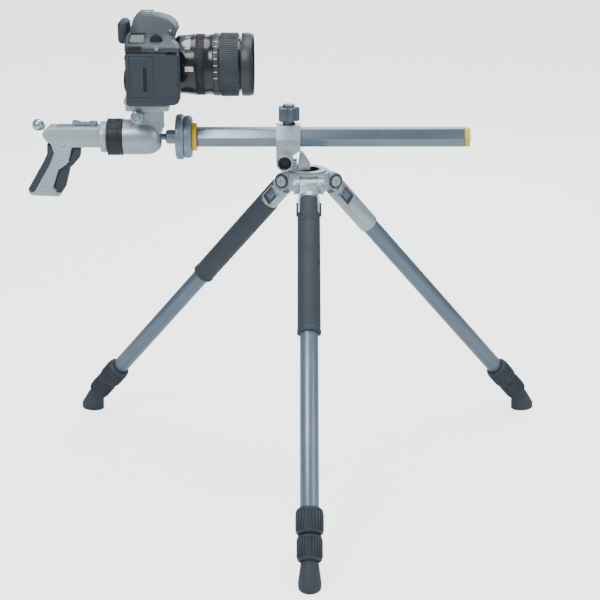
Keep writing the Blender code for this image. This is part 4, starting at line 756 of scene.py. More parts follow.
class STAND_OT_shoulder(bpy.types.Operator):
    """Shoulder casting, swivel deck, column clamp and its knob"""
    bl_idname = "stand.shoulder"
    bl_label = "Shoulder and clamp"

    def execute(self, context):
        piece("shoulder_casting", from_node("shoulder", 0.0009, 2), "stand", "cast_alloy",
              "silver_coat", "shoulder")
        piece("swivel_deck", from_node("swivel_base", 0.0008, 2), "swivel", "cast_alloy",
              "silver_coat", "swivel_base")
        piece("pivot_lever_wing", from_node("pivot_lever", 0.0008, 2), "lock_lever", "cast_alloy",
              "silver_coat", "pivot_lever")
        piece("column_clamp_casting", from_node("column_clamp", 0.0008, 2), "clamp", "cast_alloy",
              "silver_coat", "column_clamp")
        piece("pivot_pin_core", from_node("pivot_pin", 0.0003, 1), "clamp", "black_plastic",
              "camera_black", "pivot_pin")
        self.arm_trim()
        self.knob()
        self.deck_opening_shade()
        return {"FINISHED"}

    def arm_trim(self):
        """Rim of the pivot hole and raised arcs on the face of the clamp's arm."""
        low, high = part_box("column_clamp")
        pin_low, pin_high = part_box("pivot_pin")
        middle = (pin_low + pin_high) / 2.0
        for number, (face, side) in enumerate(((low.y, -1.0), (high.y, 1.0))):
            place = at(middle.x, face, middle.z, Matrix.Rotation(radians(90.0) * -side, 4, "X"))
            rim = lathe([(0.0093, -0.0010), (0.0113, -0.0010), (0.0113, 0.0005), (0.0106, 0.0011),
                         (0.0099, 0.0011), (0.0093, 0.0005)], 72, closed=True, soften=0.0002)
            piece("pivot_rim_%d" % number, moved(rim, place), "clamp", "cast_alloy",
                  "machined_silver")
            arcs = [band(radius, radius + 0.0011, -side * ARC_START, -side * ARC_END, -0.0004,
                         0.0006, 28, 0.0002) for radius in ARC_RADII]
            piece("arm_arcs_%d" % number, moved(joined(*arcs), place), "clamp", "cast_alloy",
                  "machined_silver")

    def knob(self):
        """Clamp knob with a pale cap and a dark neck."""
        piece("clamp_knob_head", from_node("clamp_knob", 0.0012, 3), "clamp_knob", "grey_paint",
              "dark_anodised", "clamp_knob")
        low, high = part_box("clamp_knob")
        middle = (low + high) / 2.0
        cap = lathe([(0.0, high.z - 0.0012), (0.0078, high.z - 0.0012), (0.0078, high.z - 0.0003),
                     (0.0070, high.z + 0.0003), (0.0, high.z + 0.0003)], 64, soften=0.0002)
        piece("clamp_knob_cap", moved(cap, at(middle.x, middle.y, 0.0)), "clamp_knob",
              "grey_paint", "tube_anodised_right")
        neck = lathe([(0.0045, CLAMP_TOP), (0.0088, CLAMP_TOP), (0.0088, CLAMP_TOP + 0.0016),
                      (0.0078, CLAMP_TOP + 0.0030), (0.0045, CLAMP_TOP + 0.0030)], 64,
                     closed=True, soften=0.0002)
        piece("clamp_knob_washer", moved(neck, at(middle.x, middle.y, 0.0)), "clamp",
              "black_plastic", "camera_black")

    def deck_opening_shade(self):
        """Dark lining inside the opening in the swivel deck, painted shade in the hole."""
        low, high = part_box("shoulder")
        lining = lathe([(0.0150, low.z + 0.0030), (0.0157, low.z + 0.0030),
                        (0.0157, high.z + 0.0020), (0.0150, high.z + 0.0020)], 64, closed=True)
        piece("passage_shade_lining", moved(lining, at(CENTRE.x, CENTRE.y, 0.0)), "stand",
              "black_plastic", "camera_black")


# ================================================================ column
class STAND_OT_column(bpy.types.Operator):
    """Hexagonal column with its yellow ring and plug, and the knurled disc"""
    bl_idname = "stand.column"
    bl_label = "Column"

    def execute(self, context):
        sizes = context.scene.head_sizes
        low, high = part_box("column")
        half = sizes.column_flats / 2.0
        corner = half / cos(pi / 6.0)
        hexagon = [(corner * cos(pi / 3.0 * k) + CENTRE.y, corner * sin(pi / 3.0 * k) + COLUMN_Z)
                   for k in range(6)]
        tube = slab(hexagon, low.x, high.x, "X", 0.0011, 3)
        piece("column_tube", tube, "column", "anodised_tube", "column_anodised", "column")
        piece("column_plug", from_node("column_end_cap", 0.0012, 3), "column", "yellow_plastic",
              "yellow_plastic", "column_end_cap")
        low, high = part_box("column_ring")
        radius = (high.z - low.z) / 2.0
        length = high.x - low.x
        ring = lathe([(0.0160, 0.0), (radius, 0.0), (radius, length), (0.0160, length)], 72,
                     closed=True, soften=0.0010, segments=3)
        piece("column_yellow_ring", moved(ring, at(low.x, CENTRE.y, COLUMN_Z, AXIS_X)), "column",
              "yellow_plastic", "yellow_plastic", "column_ring")
        for name, node, body in (("mount_disc", "mount_plate", "column"),
                                 ("head_disc", "head_base", "pan_base")):
            piece(name, from_node(node, 0.0014, 3), body, "grey_paint", "disc_grey", node)
        self.knurl("mount_disc_knurl", "mount_plate", "column", 0.0100)
        self.knurl("head_disc_knurl", "head_base", "pan_base", 0.0110)
        return {"FINISHED"}

    def knurl(self, name, node, body, length):
        """Fine ribs round the edge of a disc."""
        low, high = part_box(node)
        radius = (high.z - low.z) / 2.0
        end = high.x if node == "head_base" else low.x + length
        teeth = ribs(radius + 0.0002, 0.0022, length - 0.0022, 90, 0.0012, 0.0010)
        piece(name, moved(teeth, at(end - length, CENTRE.y, COLUMN_Z, AXIS_X)), body,
              "grey_paint", "disc_grey")


# ================================================================ ball head and grip
class STAND_OT_head(bpy.types.Operator):
    """Ball housing, friction ring, quick-release clamp and pistol grip"""
    bl_idname = "stand.head"
    bl_label = "Ball head"

    def execute(self, context):
        coat("ball_liner", "camera_black")
        piece("ball_housing", from_node("head_housing", 0.0010, 3, 28.0), "head", "cast_alloy",
              "silver_coat", "head_housing")
        piece("friction_ring_grip", from_node("friction_ring", 0.0004, 2), "friction_ring",
              "black_rubber", "black_rubber", "friction_ring")
        piece("grip_shell", from_node("grip_body", 0.0012, 3), "head", "cast_alloy",
              "grip_coat", "grip_body")
        self.grip_trim()
        piece("trigger_rubber", from_node("trigger", 0.0015, 3), "trigger", "soft_rubber",
              "matt_rubber", "trigger")
        piece("rear_knob_ball", from_node("rear_knob", 0.0004, 2), "rear_knob", "machined_alloy",
              "machined_silver", "rear_knob")
        piece("grip_switch_lever", from_node("grip_switch", 0.0006, 2), "grip_switch",
              "machined_alloy", "machined_silver", "grip_switch")
        piece("clamp_jaw_block", from_node("clamp_jaw", 0.0006, 2), "clamp_jaw", "machined_alloy",
              "silver_coat", "clamp_jaw")
        piece("clamp_screw_knob", from_node("clamp_screw", 0.0005, 2), "clamp_screw",
              "machined_alloy", "machined_silver", "clamp_screw")
        self.ring_trim(context.scene.head_sizes.ring_ribs)
        self.knob_ribs()
        piece("quick_plate", from_node("quick_release_plate", 0.0008, 2), "camera", "grey_paint",
              "silver_coat", "quick_release_plate")
        return {"FINISHED"}

    def grip_trim(self):
        """Wide rubber pad on the back of the grip, the strip on its top and its screws."""
        rear, middle = GRIP_REAR, CENTRE.y
        outline = [(-0.0015, -0.0068), (-0.0021, -0.0215), (-0.0075, -0.0325), (-0.0319, -0.0735),
                   (-0.0260, -0.0790), (-0.0211, -0.0749), (0.0018, -0.0367), (0.0075, -0.0209),
                   (0.0035, -0.0120)]
        pad = slab([(rear + x, COLUMN_Z + z) for x, z in outline], middle - 0.0152,
                   middle + 0.0152, "Y", 0.0012, 3, 20.0)
        piece("grip_back_rubber", pad, "head", "soft_rubber", "matt_rubber", "grip_back_pad")
        top = COLUMN_Z + 0.0160
        strip = block((rear + 0.0120, middle - 0.0112, top - 0.0004),
                      (rear + 0.0780, middle + 0.0112, top + 0.0006), 0.0005, 2)
        piece("grip_top_strip", strip, "head", "grey_paint", "disc_grey")
        for number, side in enumerate((-1.0, 1.0)):
            for count, (x, z) in enumerate(((0.0220, -0.0120), (-0.0100, -0.0700))):
                screw = lathe([(0.0, -0.0006), (0.0032, -0.0006), (0.0032, 0.0002),
                               (0.0027, 0.0005), (0.0015, 0.0005), (0.0013, -0.0002),
                               (0.0, -0.0002)], 32)
                place = at(rear + x, middle + side * 0.0150, COLUMN_Z + z,
                           Matrix.Rotation(radians(90.0) * -side, 4, "X"))
                piece("grip_screw_%d_%d" % (number, count), moved(screw, place), "head",
                      "machined_alloy", "machined_silver")

    def ring_trim(self, count):
        """Ribs and end beads of the friction ring."""
        low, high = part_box("friction_ring")
        radius = (high.z - low.z) / 2.0
        length = high.x - low.x
        teeth = ribs(radius + 0.0004, 0.0040, length - 0.0040, count, 0.0022, 0.0012)
        rings = [lathe([(radius - 0.0010, start), (radius + 0.0007, start),
                        (radius + 0.0007, start + 0.0026), (radius - 0.0010, start + 0.0026)], 64,
                       closed=True, soften=0.0005) for start in (0.0006, length - 0.0032)]
        place = at(low.x, CENTRE.y, COLUMN_Z, AXIS_X)
        piece("friction_ring_ribs", moved(joined(teeth, *rings), place), "friction_ring",
              "black_rubber", "black_rubber")

    def knob_ribs(self):
        """Knurl and recess of the quick-release knob."""
        low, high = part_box("clamp_screw")
        middle = (low + high) / 2.0
        place = at(middle.x, low.y, middle.z, Matrix.Rotation(radians(-90.0), 4, "X"))
        radius = (high.z - low.z) / 2.0
        teeth = ribs(radius + 0.0002, 0.0016, 0.0090, 36, 0.0009, 0.0008)
        piece("clamp_screw_knurl", moved(teeth, place), "clamp_screw", "machined_alloy",
              "machined_silver")
        dish = lathe([(0.0, 0.0004), (0.0042, 0.0004), (0.0042, -0.0001), (0.0054, -0.0001),
                      (0.0060, -0.0005), (0.0066, -0.0001), (0.0066, 0.0008), (0.0, 0.0008)], 48)
        piece("clamp_screw_face", moved(dish, place), "clamp_screw", "machined_alloy",
              "disc_grey")


# ================================================================ camera
CAMERA_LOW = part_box("camera_body")[0]
CAMERA_PLACE = Matrix.Translation((CAMERA_LOW.x, BALL.y, CAMERA_LOW.z))
GRIP_SIDE, FAR_SIDE = -0.0790, 0.0730
CAMERA_DEPTH, GRIP_FRONT = 0.0590, 0.0730
COVER_BOTTOM, DECK = 0.0738, 0.0940


def camera_piece(name, mesh, finish, *nodes, body="camera", slot="camera_shell", smooth=38.0):
    """A piece in the camera's own frame: X from its back, Y from the lens axis, Z from its base."""
    return piece(name, moved(mesh, CAMERA_PLACE), body, slot, finish, *nodes, smooth=smooth)


def top_shell():
    """Top cover: sloping deck over the grip, far shoulder and the prism hump."""
    deck = slab([(GRIP_SIDE, COVER_BOTTOM), (GRIP_SIDE, 0.0805), (-0.0700, 0.0858),
                 (-0.0480, 0.0936), (0.0560, DECK), (0.0680, 0.0905), (FAR_SIDE, 0.0850),
                 (FAR_SIDE, COVER_BOTTOM)], 0.0, CAMERA_DEPTH, "X", 0.0028, 3, 20.0)
    cheek = slab([(0.0300, COVER_BOTTOM), (GRIP_FRONT, COVER_BOTTOM), (GRIP_FRONT, 0.0775),
                  (0.0690, 0.0838), (0.0600, 0.0885), (0.0480, 0.0925), (0.0300, 0.0925)],
                 GRIP_SIDE, -0.0435, "Y", 0.0)
    cheek = sliced(cheek, (0.0, GRIP_SIDE, 0.0805), Vector((0.0, -0.42, 0.91)))
    softened(cheek, 0.0026, 3, 20.0)
    hump = slab([(0.0030, 0.0800), (0.0580, 0.0800), (0.0585, 0.0885), (0.0672, 0.0900),
                 (0.0660, 0.0990), (0.0630, 0.1055), (0.0560, 0.1110), (0.0440, 0.1150),
                 (0.0300, 0.1172), (0.0140, 0.1172), (0.0085, 0.1140), (0.0030, 0.0980)],
                -0.0330, 0.0330, "Y", 0.0)
    for point in hump.verts:
        rise = max(0.0, (point.co.z - 0.0880) / 0.0300)
        point.co.y *= 1.0 - 0.42 * rise ** 1.3
    softened(hump, 0.0045, 4, 22.0)
    return combined(deck, [cheek, hump], "UNION")


def on_deck(mesh, x, y, z):
    """Lay a shape on the sloping part of the deck over the grip."""
    return moved(mesh, at(x, y, z, Matrix.Rotation(radians(19.5), 4, "X")))


class STAND_OT_camera(bpy.types.Operator):
    """Camera body with its covers, dials, screen, shoe and eyecup"""
    bl_idname = "stand.camera"
    bl_label = "Camera"

    def execute(self, context):
        camera_shells()
        camera_controls()
        camera_back()
        camera_sides()
        return {"FINISHED"}


def camera_shells():
    """Lower shell with its leathery skin, top cover, base plate and mount ring."""
    body = block((0.0, GRIP_SIDE, 0.0), (CAMERA_DEPTH, FAR_SIDE, COVER_BOTTOM - 0.0003), 0.0045, 4)
    grip = block((0.0236, GRIP_SIDE + 0.0002, 0.0002),
                 (GRIP_FRONT, -0.0430, COVER_BOTTOM - 0.0005), 0.0090, 5)
    door = block((0.0059, GRIP_SIDE - 0.01, 0.0128), (0.0389, GRIP_SIDE + 0.0027, 0.0688))
    shell = combined(combined(body, [grip], "UNION"), [door])
    camera_piece("camera_shell_lower", shell, "camera_hide", "camera_body")
    camera_piece("camera_shell_upper", top_shell(), "camera_shell", "top_cover")
    base = block((0.0035, GRIP_SIDE + 0.0035, -0.0004), (CAMERA_DEPTH - 0.0030, FAR_SIDE - 0.004,
                                                        0.0030), 0.0008, 2)
    camera_piece("camera_base_plate", base, "camera_shell")
    seam = block((0.0008, GRIP_SIDE + 0.0008, COVER_BOTTOM - 0.0012),
                 (CAMERA_DEPTH - 0.0008, FAR_SIDE - 0.0008, COVER_BOTTOM + 0.0006))
    camera_piece("camera_seam", seam, "camera_black")
    collar = lathe([(0.0270, -0.0030), (0.0360, -0.0030), (0.0352, 0.0012), (0.0338, 0.0040),
                    (0.0270, 0.0040)], 72, closed=True, soften=0.0006)
    camera_piece("camera_mount_collar", moved(collar, at(CAMERA_DEPTH, 0, 0.0450, AXIS_X)),
                 "camera_shell")
    ring = lathe([(0.0270, 0.0), (0.0330, 0.0), (0.0330, 0.0041), (0.0270, 0.0041)], 72,
                 closed=True, soften=0.0003)
    camera_piece("camera_mount_ring", moved(ring, at(CAMERA_DEPTH, 0, 0.0450, AXIS_X)),
                 "machined_silver", slot="machined_alloy")


def camera_controls():
    """Shutter button, dials, deck display, shoe and the small buttons beside them."""
    camera_piece("shutter_button_cap", moved(from_node("shutter_button", 0.0012, 3),
                                             CAMERA_PLACE.inverted()),
                 "camera_black", "shutter_button", body="shutter_button", slot="black_plastic")
    low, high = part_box("main_dial")
    middle, radius = (low + high) / 2.0, (high.z - low.z) / 2.0
    half = (high.y - low.y) / 2.0
    wheel = lathe([(0.0, -half), (radius - 0.0008, -half), (radius - 0.0008, half), (0.0, half)],
                  48, soften=0.0005)
    teeth = ribs(radius, -half * 0.88, half * 0.88, 36, 0.0008, 0.0012)
    place = at(*middle, Matrix.Rotation(pi / 2.0, 4, "X"))
    piece("main_dial_wheel", moved(joined(wheel, teeth), place), "main_dial", "black_plastic",
          "camera_black", "main_dial")
    frame_plate = block((-0.0115, -0.0120, -0.0006), (0.0115, 0.0120, 0.0005), 0.0004, 2)
    camera_piece("deck_display_frame", on_deck(frame_plate, 0.0160, -0.0600, 0.0893),
                 "camera_black", slot="black_plastic")
    window = block((-0.0092, -0.0095, 0.0), (0.0092, 0.0095, 0.0009), 0.0003, 1)
    camera_piece("deck_display", on_deck(window, 0.0160, -0.0600, 0.0893), "display",
                 slot="black_plastic")
    for index in range(4):
        button = rod((0, 0, -0.0010), (0, 0, 0.0012), 0.0020, 0.0018, 24, 0.0003)
        camera_piece("deck_button_%d" % index,
                     on_deck(button, 0.0085 + 0.0052 * index, -0.0435, 0.0948),
                     "camera_black", slot="black_plastic")
    # Blacker block where the rear dial sits: its darkness is painted shade of the recess.
    recess = block((0.0030, GRIP_SIDE - 0.0004, 0.0745), (0.0235, GRIP_SIDE + 0.0110, 0.0822),
                   0.0012, 2)
    camera_piece("rear_dial_recess_shade", recess, "camera_black", slot="black_plastic")
    wheel = joined(lathe([(0.0, -0.0024), (0.0078, -0.0024), (0.0078, 0.0024), (0.0, 0.0024)], 40,
                         soften=0.0004),
                   ribs(0.0086, -0.0022, 0.0022, 32, 0.0008, 0.0012))
    camera_piece("rear_dial", moved(wheel, at(0.0130, GRIP_SIDE + 0.0084, 0.0785)),
                 "black_rubber", slot="black_rubber")
    base = block((0.0140, -0.0105, 0.1166), (0.0345, 0.0105, 0.1178), 0.0003, 1)
    rails = [block((0.0145, side * 0.0080 - 0.0022, 0.1176), (0.0335, side * 0.0080 + 0.0022,
                                                             0.1200), 0.0003, 1)
             for side in (-1.0, 1.0)]
    camera_piece("accessory_shoe", joined(base, *rails), "machined_silver", slot="machined_alloy")
    pin = rod((0.0240, 0.0, 0.1176), (0.0240, 0.0, 0.1184), 0.0018, sides=24)
    camera_piece("shoe_contact", pin, "gold_mark", slot="machined_alloy")
    mode = joined(lathe([(0.0, 0.0), (0.0098, 0.0), (0.0098, 0.0052), (0.0088, 0.0060),
                         (0.0, 0.0060)], 48, soften=0.0003),
                  ribs(0.0103, 0.0006, 0.0050, 44, 0.0007, 0.0010))
    camera_piece("mode_dial", moved(mode, at(0.0210, 0.0500, DECK - 0.0004)), "camera_black",
                 slot="black_plastic")
    switch = slab([(0.0, 0.0), (0.0040, -0.0030), (0.0150, -0.0018), (0.0150, 0.0018),
                   (0.0040, 0.0030)], 0.0, 0.0022, "Z", 0.0005)
    camera_piece("power_switch", moved(switch, at(0.0190, 0.0500, DECK - 0.0008,
                                                  Matrix.Rotation(radians(60), 4, "Z"))),
                 "camera_black", slot="black_plastic")
    camera_piece("eyecup_rubber", moved(from_node("eyecup", 0.0024, 4), CAMERA_PLACE.inverted()),
                 "matt_rubber", "eyecup", slot="soft_rubber")
    glass = block((-0.0100, -0.0110, 0.0860), (-0.0060, 0.0110, 0.0980), 0.0005, 1)
    camera_piece("finder_glass", glass, "lens_glass", slot="lens_glass")


def camera_back():
    """Screen, rear buttons and the round rear control."""
    surround = block((-0.0014, -0.0450, 0.0090), (0.0010, 0.0440, 0.0700), 0.0009, 3)
    camera_piece("screen_frame", surround, "camera_black", slot="black_plastic")
    screen = block((-0.0019, -0.0360, 0.0135), (-0.0008, 0.0400, 0.0655), 0.0004, 2)
    camera_piece("screen_glass", screen, "black_gloss", slot="black_plastic")
    dial = joined(lathe([(0.0080, 0.0), (0.0145, 0.0), (0.0145, 0.0020), (0.0128, 0.0028),
                         (0.0080, 0.0014)], 56, closed=True, soften=0.0003),
                  ribs(0.0148, 0.0002, 0.0018, 60, 0.0007, 0.0008))
    turn = Matrix.Rotation(-pi / 2.0, 4, "Y")
    camera_piece("rear_wheel", moved(dial, at(0.0, -0.0600, 0.0330, turn)), "camera_black",
                 slot="black_plastic")
    centre = rod((0.0005, -0.0600, 0.0330), (-0.0016, -0.0600, 0.0330), 0.0062, 0.0058, 40, 0.0005)
    camera_piece("rear_centre_button", centre, "camera_shell", slot="black_plastic")
    places = [(-0.0620, 0.0560), (-0.0500, 0.0640), (-0.0700, 0.0650), (-0.0620, 0.0120),
              (-0.0500, 0.0860), (-0.0620, 0.0860), (0.0560, 0.0840), (0.0660, 0.0800),
              (0.0560, 0.0520), (0.0560, 0.0400), (0.0560, 0.0280)]
    for index, (y, z) in enumerate(places):
        button = rod((0.0006, y, z), (-0.0013, y, z), 0.0026, 0.0023, 24, 0.0004)
        camera_piece("rear_button_%02d" % index, button, "camera_black", slot="black_plastic")


def camera_sides():
    """Card door with its ribbed thumb patch and slot, strap lugs and side covers."""
    door = block((0.0062, GRIP_SIDE, 0.0131), (0.0386, GRIP_SIDE + 0.0024, 0.0685), 0.0005, 2)
    slot = block((0.0247, GRIP_SIDE - 0.01, 0.0205), (0.0296, GRIP_SIDE + 0.0017, 0.0535))
    camera_piece("card_door_panel", combined(door, [slot]), "camera_hide", "card_door",
                 body="card_door")
    # Dark block behind the cut slot: painted shadow inside the slot.
    shadow = block((0.0250, GRIP_SIDE + 0.0014, 0.0208), (0.0293, GRIP_SIDE + 0.0019, 0.0532))
    camera_piece("card_door_slot_shadow", shadow, "camera_black", body="card_door", slot="black_plastic")
    curve = [(0.0243, 0.0208), (0.0243, 0.0532), (0.0180, 0.0520), (0.0125, 0.0470),
             (0.0098, 0.0370), (0.0125, 0.0270), (0.0180, 0.0220)]
    patch = slab(curve, GRIP_SIDE - 0.0005, GRIP_SIDE + 0.0010, "Y", 0.0003, 1)
    rows = [block((x - 0.0007, GRIP_SIDE - 0.0011, 0.0370 - reach),
                  (x + 0.0007, GRIP_SIDE + 0.0002, 0.0370 + reach), 0.0003, 1)
            for x, reach in ((0.0130, 0.0080), (0.0155, 0.0115), (0.0180, 0.0135),
                             (0.0205, 0.0145), (0.0228, 0.0150))]
    camera_piece("card_door_thumb_patch", joined(patch, *rows), "camera_shell", body="card_door")
    for label, y, turn in (("near", GRIP_SIDE - 0.0010, 1.0), ("far", FAR_SIDE + 0.0010, -1.0)):
        post = rod((0.0440, y + turn * 0.0040, 0.0800), (0.0440, y - turn * 0.0015, 0.0800),
                   0.0030, sides=24, soften=0.0004)
        loop = band(0.0028, 0.0040, 0.0, pi, -0.0006, 0.0006, 20)
        moved(loop, at(0.0440, y - turn * 0.0005, 0.0800, Matrix.Rotation(pi / 2.0, 4, "X")))
        camera_piece("strap_lug_" + label, joined(post, loop), "machined_silver",
                     slot="machined_alloy")
    for index, (low, high) in enumerate((((0.0120, 0.0080), (0.0480, 0.0370)),
                                         ((0.0120, 0.0400), (0.0480, 0.0690)))):
        flap = block((low[0], FAR_SIDE - 0.0010, low[1]), (high[0], FAR_SIDE + 0.0006, high[1]),
                     0.0005, 2)
        tab = block((low[0] + 0.0020, FAR_SIDE, low[1] + 0.0100),
                    (low[0] + 0.0040, FAR_SIDE + 0.0010, high[1] - 0.0100), 0.0003, 1)
        camera_piece("port_cover_%d" % index, joined(flap, tab), "matt_rubber", slot="soft_rubber")
    release = rod((CAMERA_DEPTH - 0.001, 0.0430, 0.0350), (CAMERA_DEPTH + 0.0024, 0.0430, 0.0350),
                  0.0060, 0.0056, 40, 0.0006)
    camera_piece("lens_release", release, "camera_black", slot="black_plastic")
    for label, y, z, radius in (("front_lamp", -0.0370, 0.0700, 0.0022),
                                ("preview_button", -0.0385, 0.0300, 0.0036)):
        knob = rod((CAMERA_DEPTH - 0.001, y, z), (CAMERA_DEPTH + 0.0012, y, z), radius,
                   radius * 0.9, 32, 0.0004)
        camera_piece(label, knob, "white_mark" if label == "front_lamp" else "camera_black",
                     slot="black_plastic")
    for index, (y, z) in enumerate(((-0.0300, 0.0960), (-0.0305, 0.0880))):
        button = rod((0.0570, y, z), (0.0600, y - 0.0032, z), 0.0022, 0.0019, 24, 0.0004)
        camera_piece("hump_button_%d" % index, button, "machined_silver", slot="machined_alloy")


# ================================================================ lens
LENS_START = LENS.x - 0.0625
LENS_PLACE = at(LENS_START, LENS.y, LENS.z, AXIS_X)
FOCUS_RING, WAIST_RING, ZOOM_RING, FRONT_RING = 0.0295, 0.0413, 0.0625, 0.0925
NUMBER_RING, ZOOM_RING_END, LENS_END = 0.0536, 0.0887, 0.1090


def lens_piece(name, mesh, finish, *nodes, body="camera", slot="black_plastic"):
    """A piece in the lens's frame, with Z along the lens from its mount."""
    return piece(name, moved(mesh, LENS_PLACE), body, slot, finish, *nodes)


class STAND_OT_lens(bpy.types.Operator):
    """Zoom lens with its ribbed rings, marks, slide switch and front glass"""
    bl_idname = "stand.lens"
    bl_label = "Lens"

    def execute(self, context):
        sizes = context.scene.lens_sizes
        radius = sizes.radius
        core, bore = 0.0385, 0.0349
        barrel = lathe([(0.0, 0.0), (0.0365, 0.0), (0.0398, 0.0035), (0.0405, 0.0060),
                        (0.0409, 0.0170), (0.0425, 0.0280), (0.0425, FOCUS_RING),
                        (core, FOCUS_RING), (core, WAIST_RING), (0.0425, WAIST_RING),
                        (0.0415, 0.0440), (0.0415, 0.0500), (0.0428, 0.0528),
                        (0.0428, NUMBER_RING), (0.0424, NUMBER_RING + 0.0004),
                        (0.0424, ZOOM_RING), (core, ZOOM_RING), (core, 0.0906),
                        (bore, 0.0906), (bore, 0.0060), (0.0, 0.0060)], 96, soften=0.0003)
        lens_piece("lens_barrel_shell", barrel, "black_gloss", "lens_barrel")
        numbers = lathe([(0.0424, NUMBER_RING + 0.0004), (0.0434, NUMBER_RING + 0.0008),
                         (0.0436, ZOOM_RING - 0.0012), (0.0424, ZOOM_RING - 0.0006)], 96,
                        closed=True, soften=0.0002)
        lens_piece("number_ring", numbers, "lens_satin")
        for index in range(7):
            mark = block((0.0430, -0.0005, NUMBER_RING + 0.0012),
                         (0.0438, 0.0005, ZOOM_RING - 0.0030))
            turn = Matrix.Rotation(radians(215.0 + 12.0 * index), 4, "Z")
            lens_piece("zoom_mark_%d" % index, moved(mark, turn), "white_mark")
        focus = joined(
            lathe([(0.0388, FOCUS_RING + 0.0003), (0.0418, FOCUS_RING + 0.0003),
                   (0.0418, WAIST_RING - 0.0003), (0.0388, WAIST_RING - 0.0003)], 96, closed=True,
                  soften=0.0003),
            ribs(0.0425, FOCUS_RING + 0.0007, WAIST_RING - 0.0007, 96, 0.0016, 0.0013))
        lens_piece("focus_ring_grip", focus, "black_rubber", "focus_ring", body="focus_ring",
                   slot="black_rubber")
        zoom = joined(
            lathe([(0.0388, ZOOM_RING + 0.0003), (radius - 0.0008, ZOOM_RING + 0.0003),
                   (radius - 0.0008, ZOOM_RING_END - 0.0003), (0.0388, ZOOM_RING_END - 0.0003)],
                  96, closed=True, soften=0.0004),
            ribs(radius, ZOOM_RING + 0.0014, ZOOM_RING_END - 0.0014, 84, 0.0020, 0.0014))
        lens_piece("zoom_ring_grip", zoom, "zoom_rubber", "zoom_ring", body="zoom_ring",
                   slot="black_rubber")
        self.front_group(radius)
        self.switches()
        return {"FINISHED"}

    def front_group(self, radius):
        """Front ring, filter thread, coated glass and the ring of marks round it."""
        tube, inner = 0.0344, 0.0304
        profile = [(radius - 0.0010, FRONT_RING), (radius - 0.0006, FRONT_RING + 0.0010),
                   (radius - 0.0002, FRONT_RING + 0.0016), (radius - 0.0002, 0.1040),
                   (radius - 0.0012, 0.1046), (radius - 0.0012, 0.1062), (radius - 0.0022, 0.1082),
                   (radius - 0.0030, LENS_END)]
        thread = [(0.0384, LENS_END)]
        for turn in range(5):
            thread += [(0.0388, LENS_END - 0.0006 - 0.0008 * turn),
                       (0.0382, LENS_END - 0.0010 - 0.0008 * turn)]
        back = [(0.0315, 0.1024), (0.0313, 0.0969), (inner - 0.0040, 0.0964),
                (inner - 0.0040, WAIST_RING), (tube, WAIST_RING), (tube, FRONT_RING)]
        shell = lathe(profile + thread + back, 96, closed=True, soften=0.0)
        lens_piece("front_barrel_shell", shell, "lens_satin", "front_barrel", body="front_group")
        rim = lathe([(radius - 0.0028, 0.1062), (radius - 0.0009, 0.1062),
                     (radius - 0.0020, 0.1084),
                     (radius - 0.0030, LENS_END + 0.0002), (radius - 0.0040, LENS_END)], 96,
                    closed=True, soften=0.0002)
        lens_piece("front_rim", rim, "camera_black", body="front_group")
        glass = lathe([(0.0, 0.0970), (0.0309, 0.0970), (0.0309, 0.0996), (0.0270, 0.1004),
                       (0.0200, 0.1013), (0.0120, 0.1018), (0.0050, 0.1020), (0.0, 0.1020)], 96)
        lens_piece("front_glass_element", glass, "lens_glass", "front_glass", body="front_group",
                   slot="lens_glass")
        for index in range(24):
            mark = block((0.0335, -0.0003, 0.1033), (0.0350, 0.0003, 0.10345))
            lens_piece("front_mark_%02d" % index,
                       moved(mark, Matrix.Rotation(radians(15.0 * index), 4, "Z")), "white_mark",
                       body="front_group")

    def switches(self):
        """Distance window, its marks and the slide switch on its plate."""
        side = -pi / 2.0
        # The window's grey is partly a painted reflection.
        window = band(0.0404, 0.0417, side - radians(78.0), side - radians(32.0), 0.0085, 0.0255,
                      24, 0.0006)
        lens_piece("distance_window", window, "window_glass_painted_sheen", slot="lens_glass")
        for index, angle in enumerate((-70.0, -60.0, -50.0, -40.0)):
            mark = band(0.0416, 0.04185, side + radians(angle - 0.6), side + radians(angle + 0.6),
                        0.0150, 0.0215, 2)
            lens_piece("distance_mark_%d" % index, mark, "white_mark")
        plate = block((0.0398, -0.0058, 0.0100), (0.0416, 0.0058, 0.0275), 0.0008, 3)
        lens_piece("switch_plate", moved(plate, Matrix.Rotation(side, 4, "Z")), "camera_black")
        key = block((0.0412, -0.0034, 0.0150), (0.0428, 0.0034, 0.0268), 0.0010, 4)
        lens_piece("focus_switch", moved(key, Matrix.Rotation(side, 4, "Z")), "white_mark")


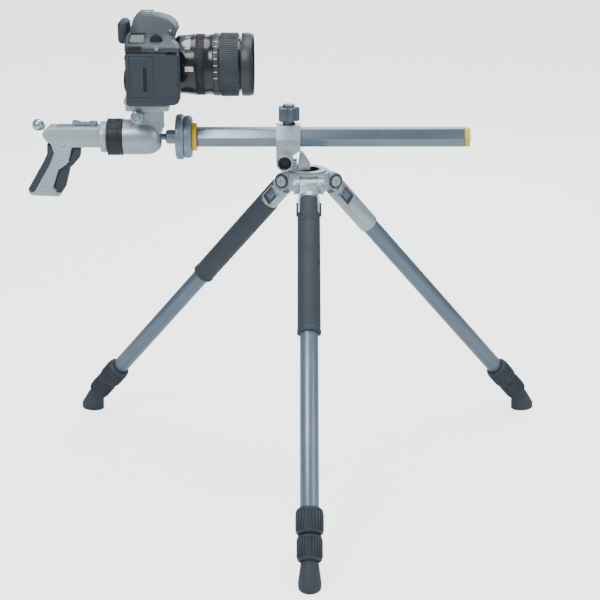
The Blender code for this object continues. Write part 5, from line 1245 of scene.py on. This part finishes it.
# ================================================================ stage
class STAND_OT_stage(bpy.types.Operator):
    """Pale floor, soft lights and the camera that looks at the object"""
    bl_idname = "stand.stage"
    bl_label = "Stage"

    def execute(self, context):
        floor = bmesh.new()
        bmesh.ops.create_grid(floor, x_segments=1, y_segments=1, size=14.0)
        bmesh.ops.translate(floor, vec=(0, 4.0, -0.0002), verts=floor.verts)
        data = bpy.data.meshes.new("floor")
        floor.to_mesh(data)
        floor.free()
        obj = bpy.data.objects.new("floor", data)
        context.scene.collection.objects.link(obj)
        data.materials.append(FINISHES["floor_paper"])

        world = bpy.data.worlds.new("studio")
        world.use_nodes = True
        world.node_tree.nodes["Background"].inputs["Color"].default_value = (0.95, 0.97, 1.0, 1.0)
        world.node_tree.nodes["Background"].inputs["Strength"].default_value = 0.45
        context.scene.world = world
        target = Vector((0.0, 0.1, 0.35))
        for label, place, size, power in (
                ("key_light", (-1.1, -1.5, 2.2), 1.2, 34.0),
                ("fill_light", (1.8, -1.2, 1.3), 1.6, 12.0),
                ("top_light", (0.1, 0.3, 2.4), 1.6, 34.0),
                ("rim_light", (0.4, 2.2, 1.4), 1.6, 16.0)):
            lamp = bpy.data.lights.new(label, "AREA")
            lamp.shape = "DISK"
            lamp.size = size
            lamp.energy = power
            source = bpy.data.objects.new(label, lamp)
            source.location = place
            source.rotation_euler = (target - Vector(place)).to_track_quat("-Z", "Y").to_euler()
            context.scene.collection.objects.link(source)

        view = bpy.data.cameras.new("view")
        view.lens = 92.5
        view.sensor_width = 36.0
        view.dof.use_dof = False
        eye = bpy.data.objects.new("view", view)
        look = Vector((-0.0002, 0.1001, 0.2518))
        eye.location = Vector((-0.0002, -2.0567, 0.9551))
        eye.rotation_euler = (look - eye.location).to_track_quat("-Z", "Y").to_euler()
        context.scene.collection.objects.link(eye)
        context.scene.camera = eye
        return {"FINISHED"}


class STAND_PT_panel(bpy.types.Panel):
    """Lists the pieces of the stand"""
    bl_idname = "STAND_PT_panel"
    bl_label = "Camera Stand"
    bl_space_type = "VIEW_3D"
    bl_region_type = "UI"
    bl_category = "Camera Stand"

    def draw(self, context):
        for operator in BUILDERS:
            self.layout.operator(operator.bl_idname)
        for group in ("leg_sizes", "head_sizes", "lens_sizes", "stand_colours"):
            sizes = getattr(context.scene, group)
            for name in sizes.bl_rna.properties.keys():
                if name not in ("rna_type", "name"):
                    self.layout.prop(sizes, name)


SIZE_GROUPS = (("leg_sizes", LegSizes), ("head_sizes", HeadSizes), ("lens_sizes", LensSizes),
               ("stand_colours", StandColours))
BUILDERS = (STAND_OT_legs, STAND_OT_shoulder, STAND_OT_column, STAND_OT_head, STAND_OT_camera,
            STAND_OT_lens, STAND_OT_stage)


def register():
    for name, group in SIZE_GROUPS:
        bpy.utils.register_class(group)
        setattr(bpy.types.Scene, name, bpy.props.PointerProperty(type=group))
    for operator in BUILDERS:
        bpy.utils.register_class(operator)
    bpy.utils.register_class(STAND_PT_panel)


def unregister():
    bpy.utils.unregister_class(STAND_PT_panel)
    for operator in reversed(BUILDERS):
        bpy.utils.unregister_class(operator)
    for name, group in reversed(SIZE_GROUPS):
        delattr(bpy.types.Scene, name)
        bpy.utils.unregister_class(group)


def main():
    """Build the object."""
    register()
    make_finishes(bpy.context.scene.stand_colours)
    for operator in BUILDERS:
        group, name = operator.bl_idname.split(".")
        getattr(getattr(bpy.ops, group), name)()


if __name__ == "__main__":
    main()
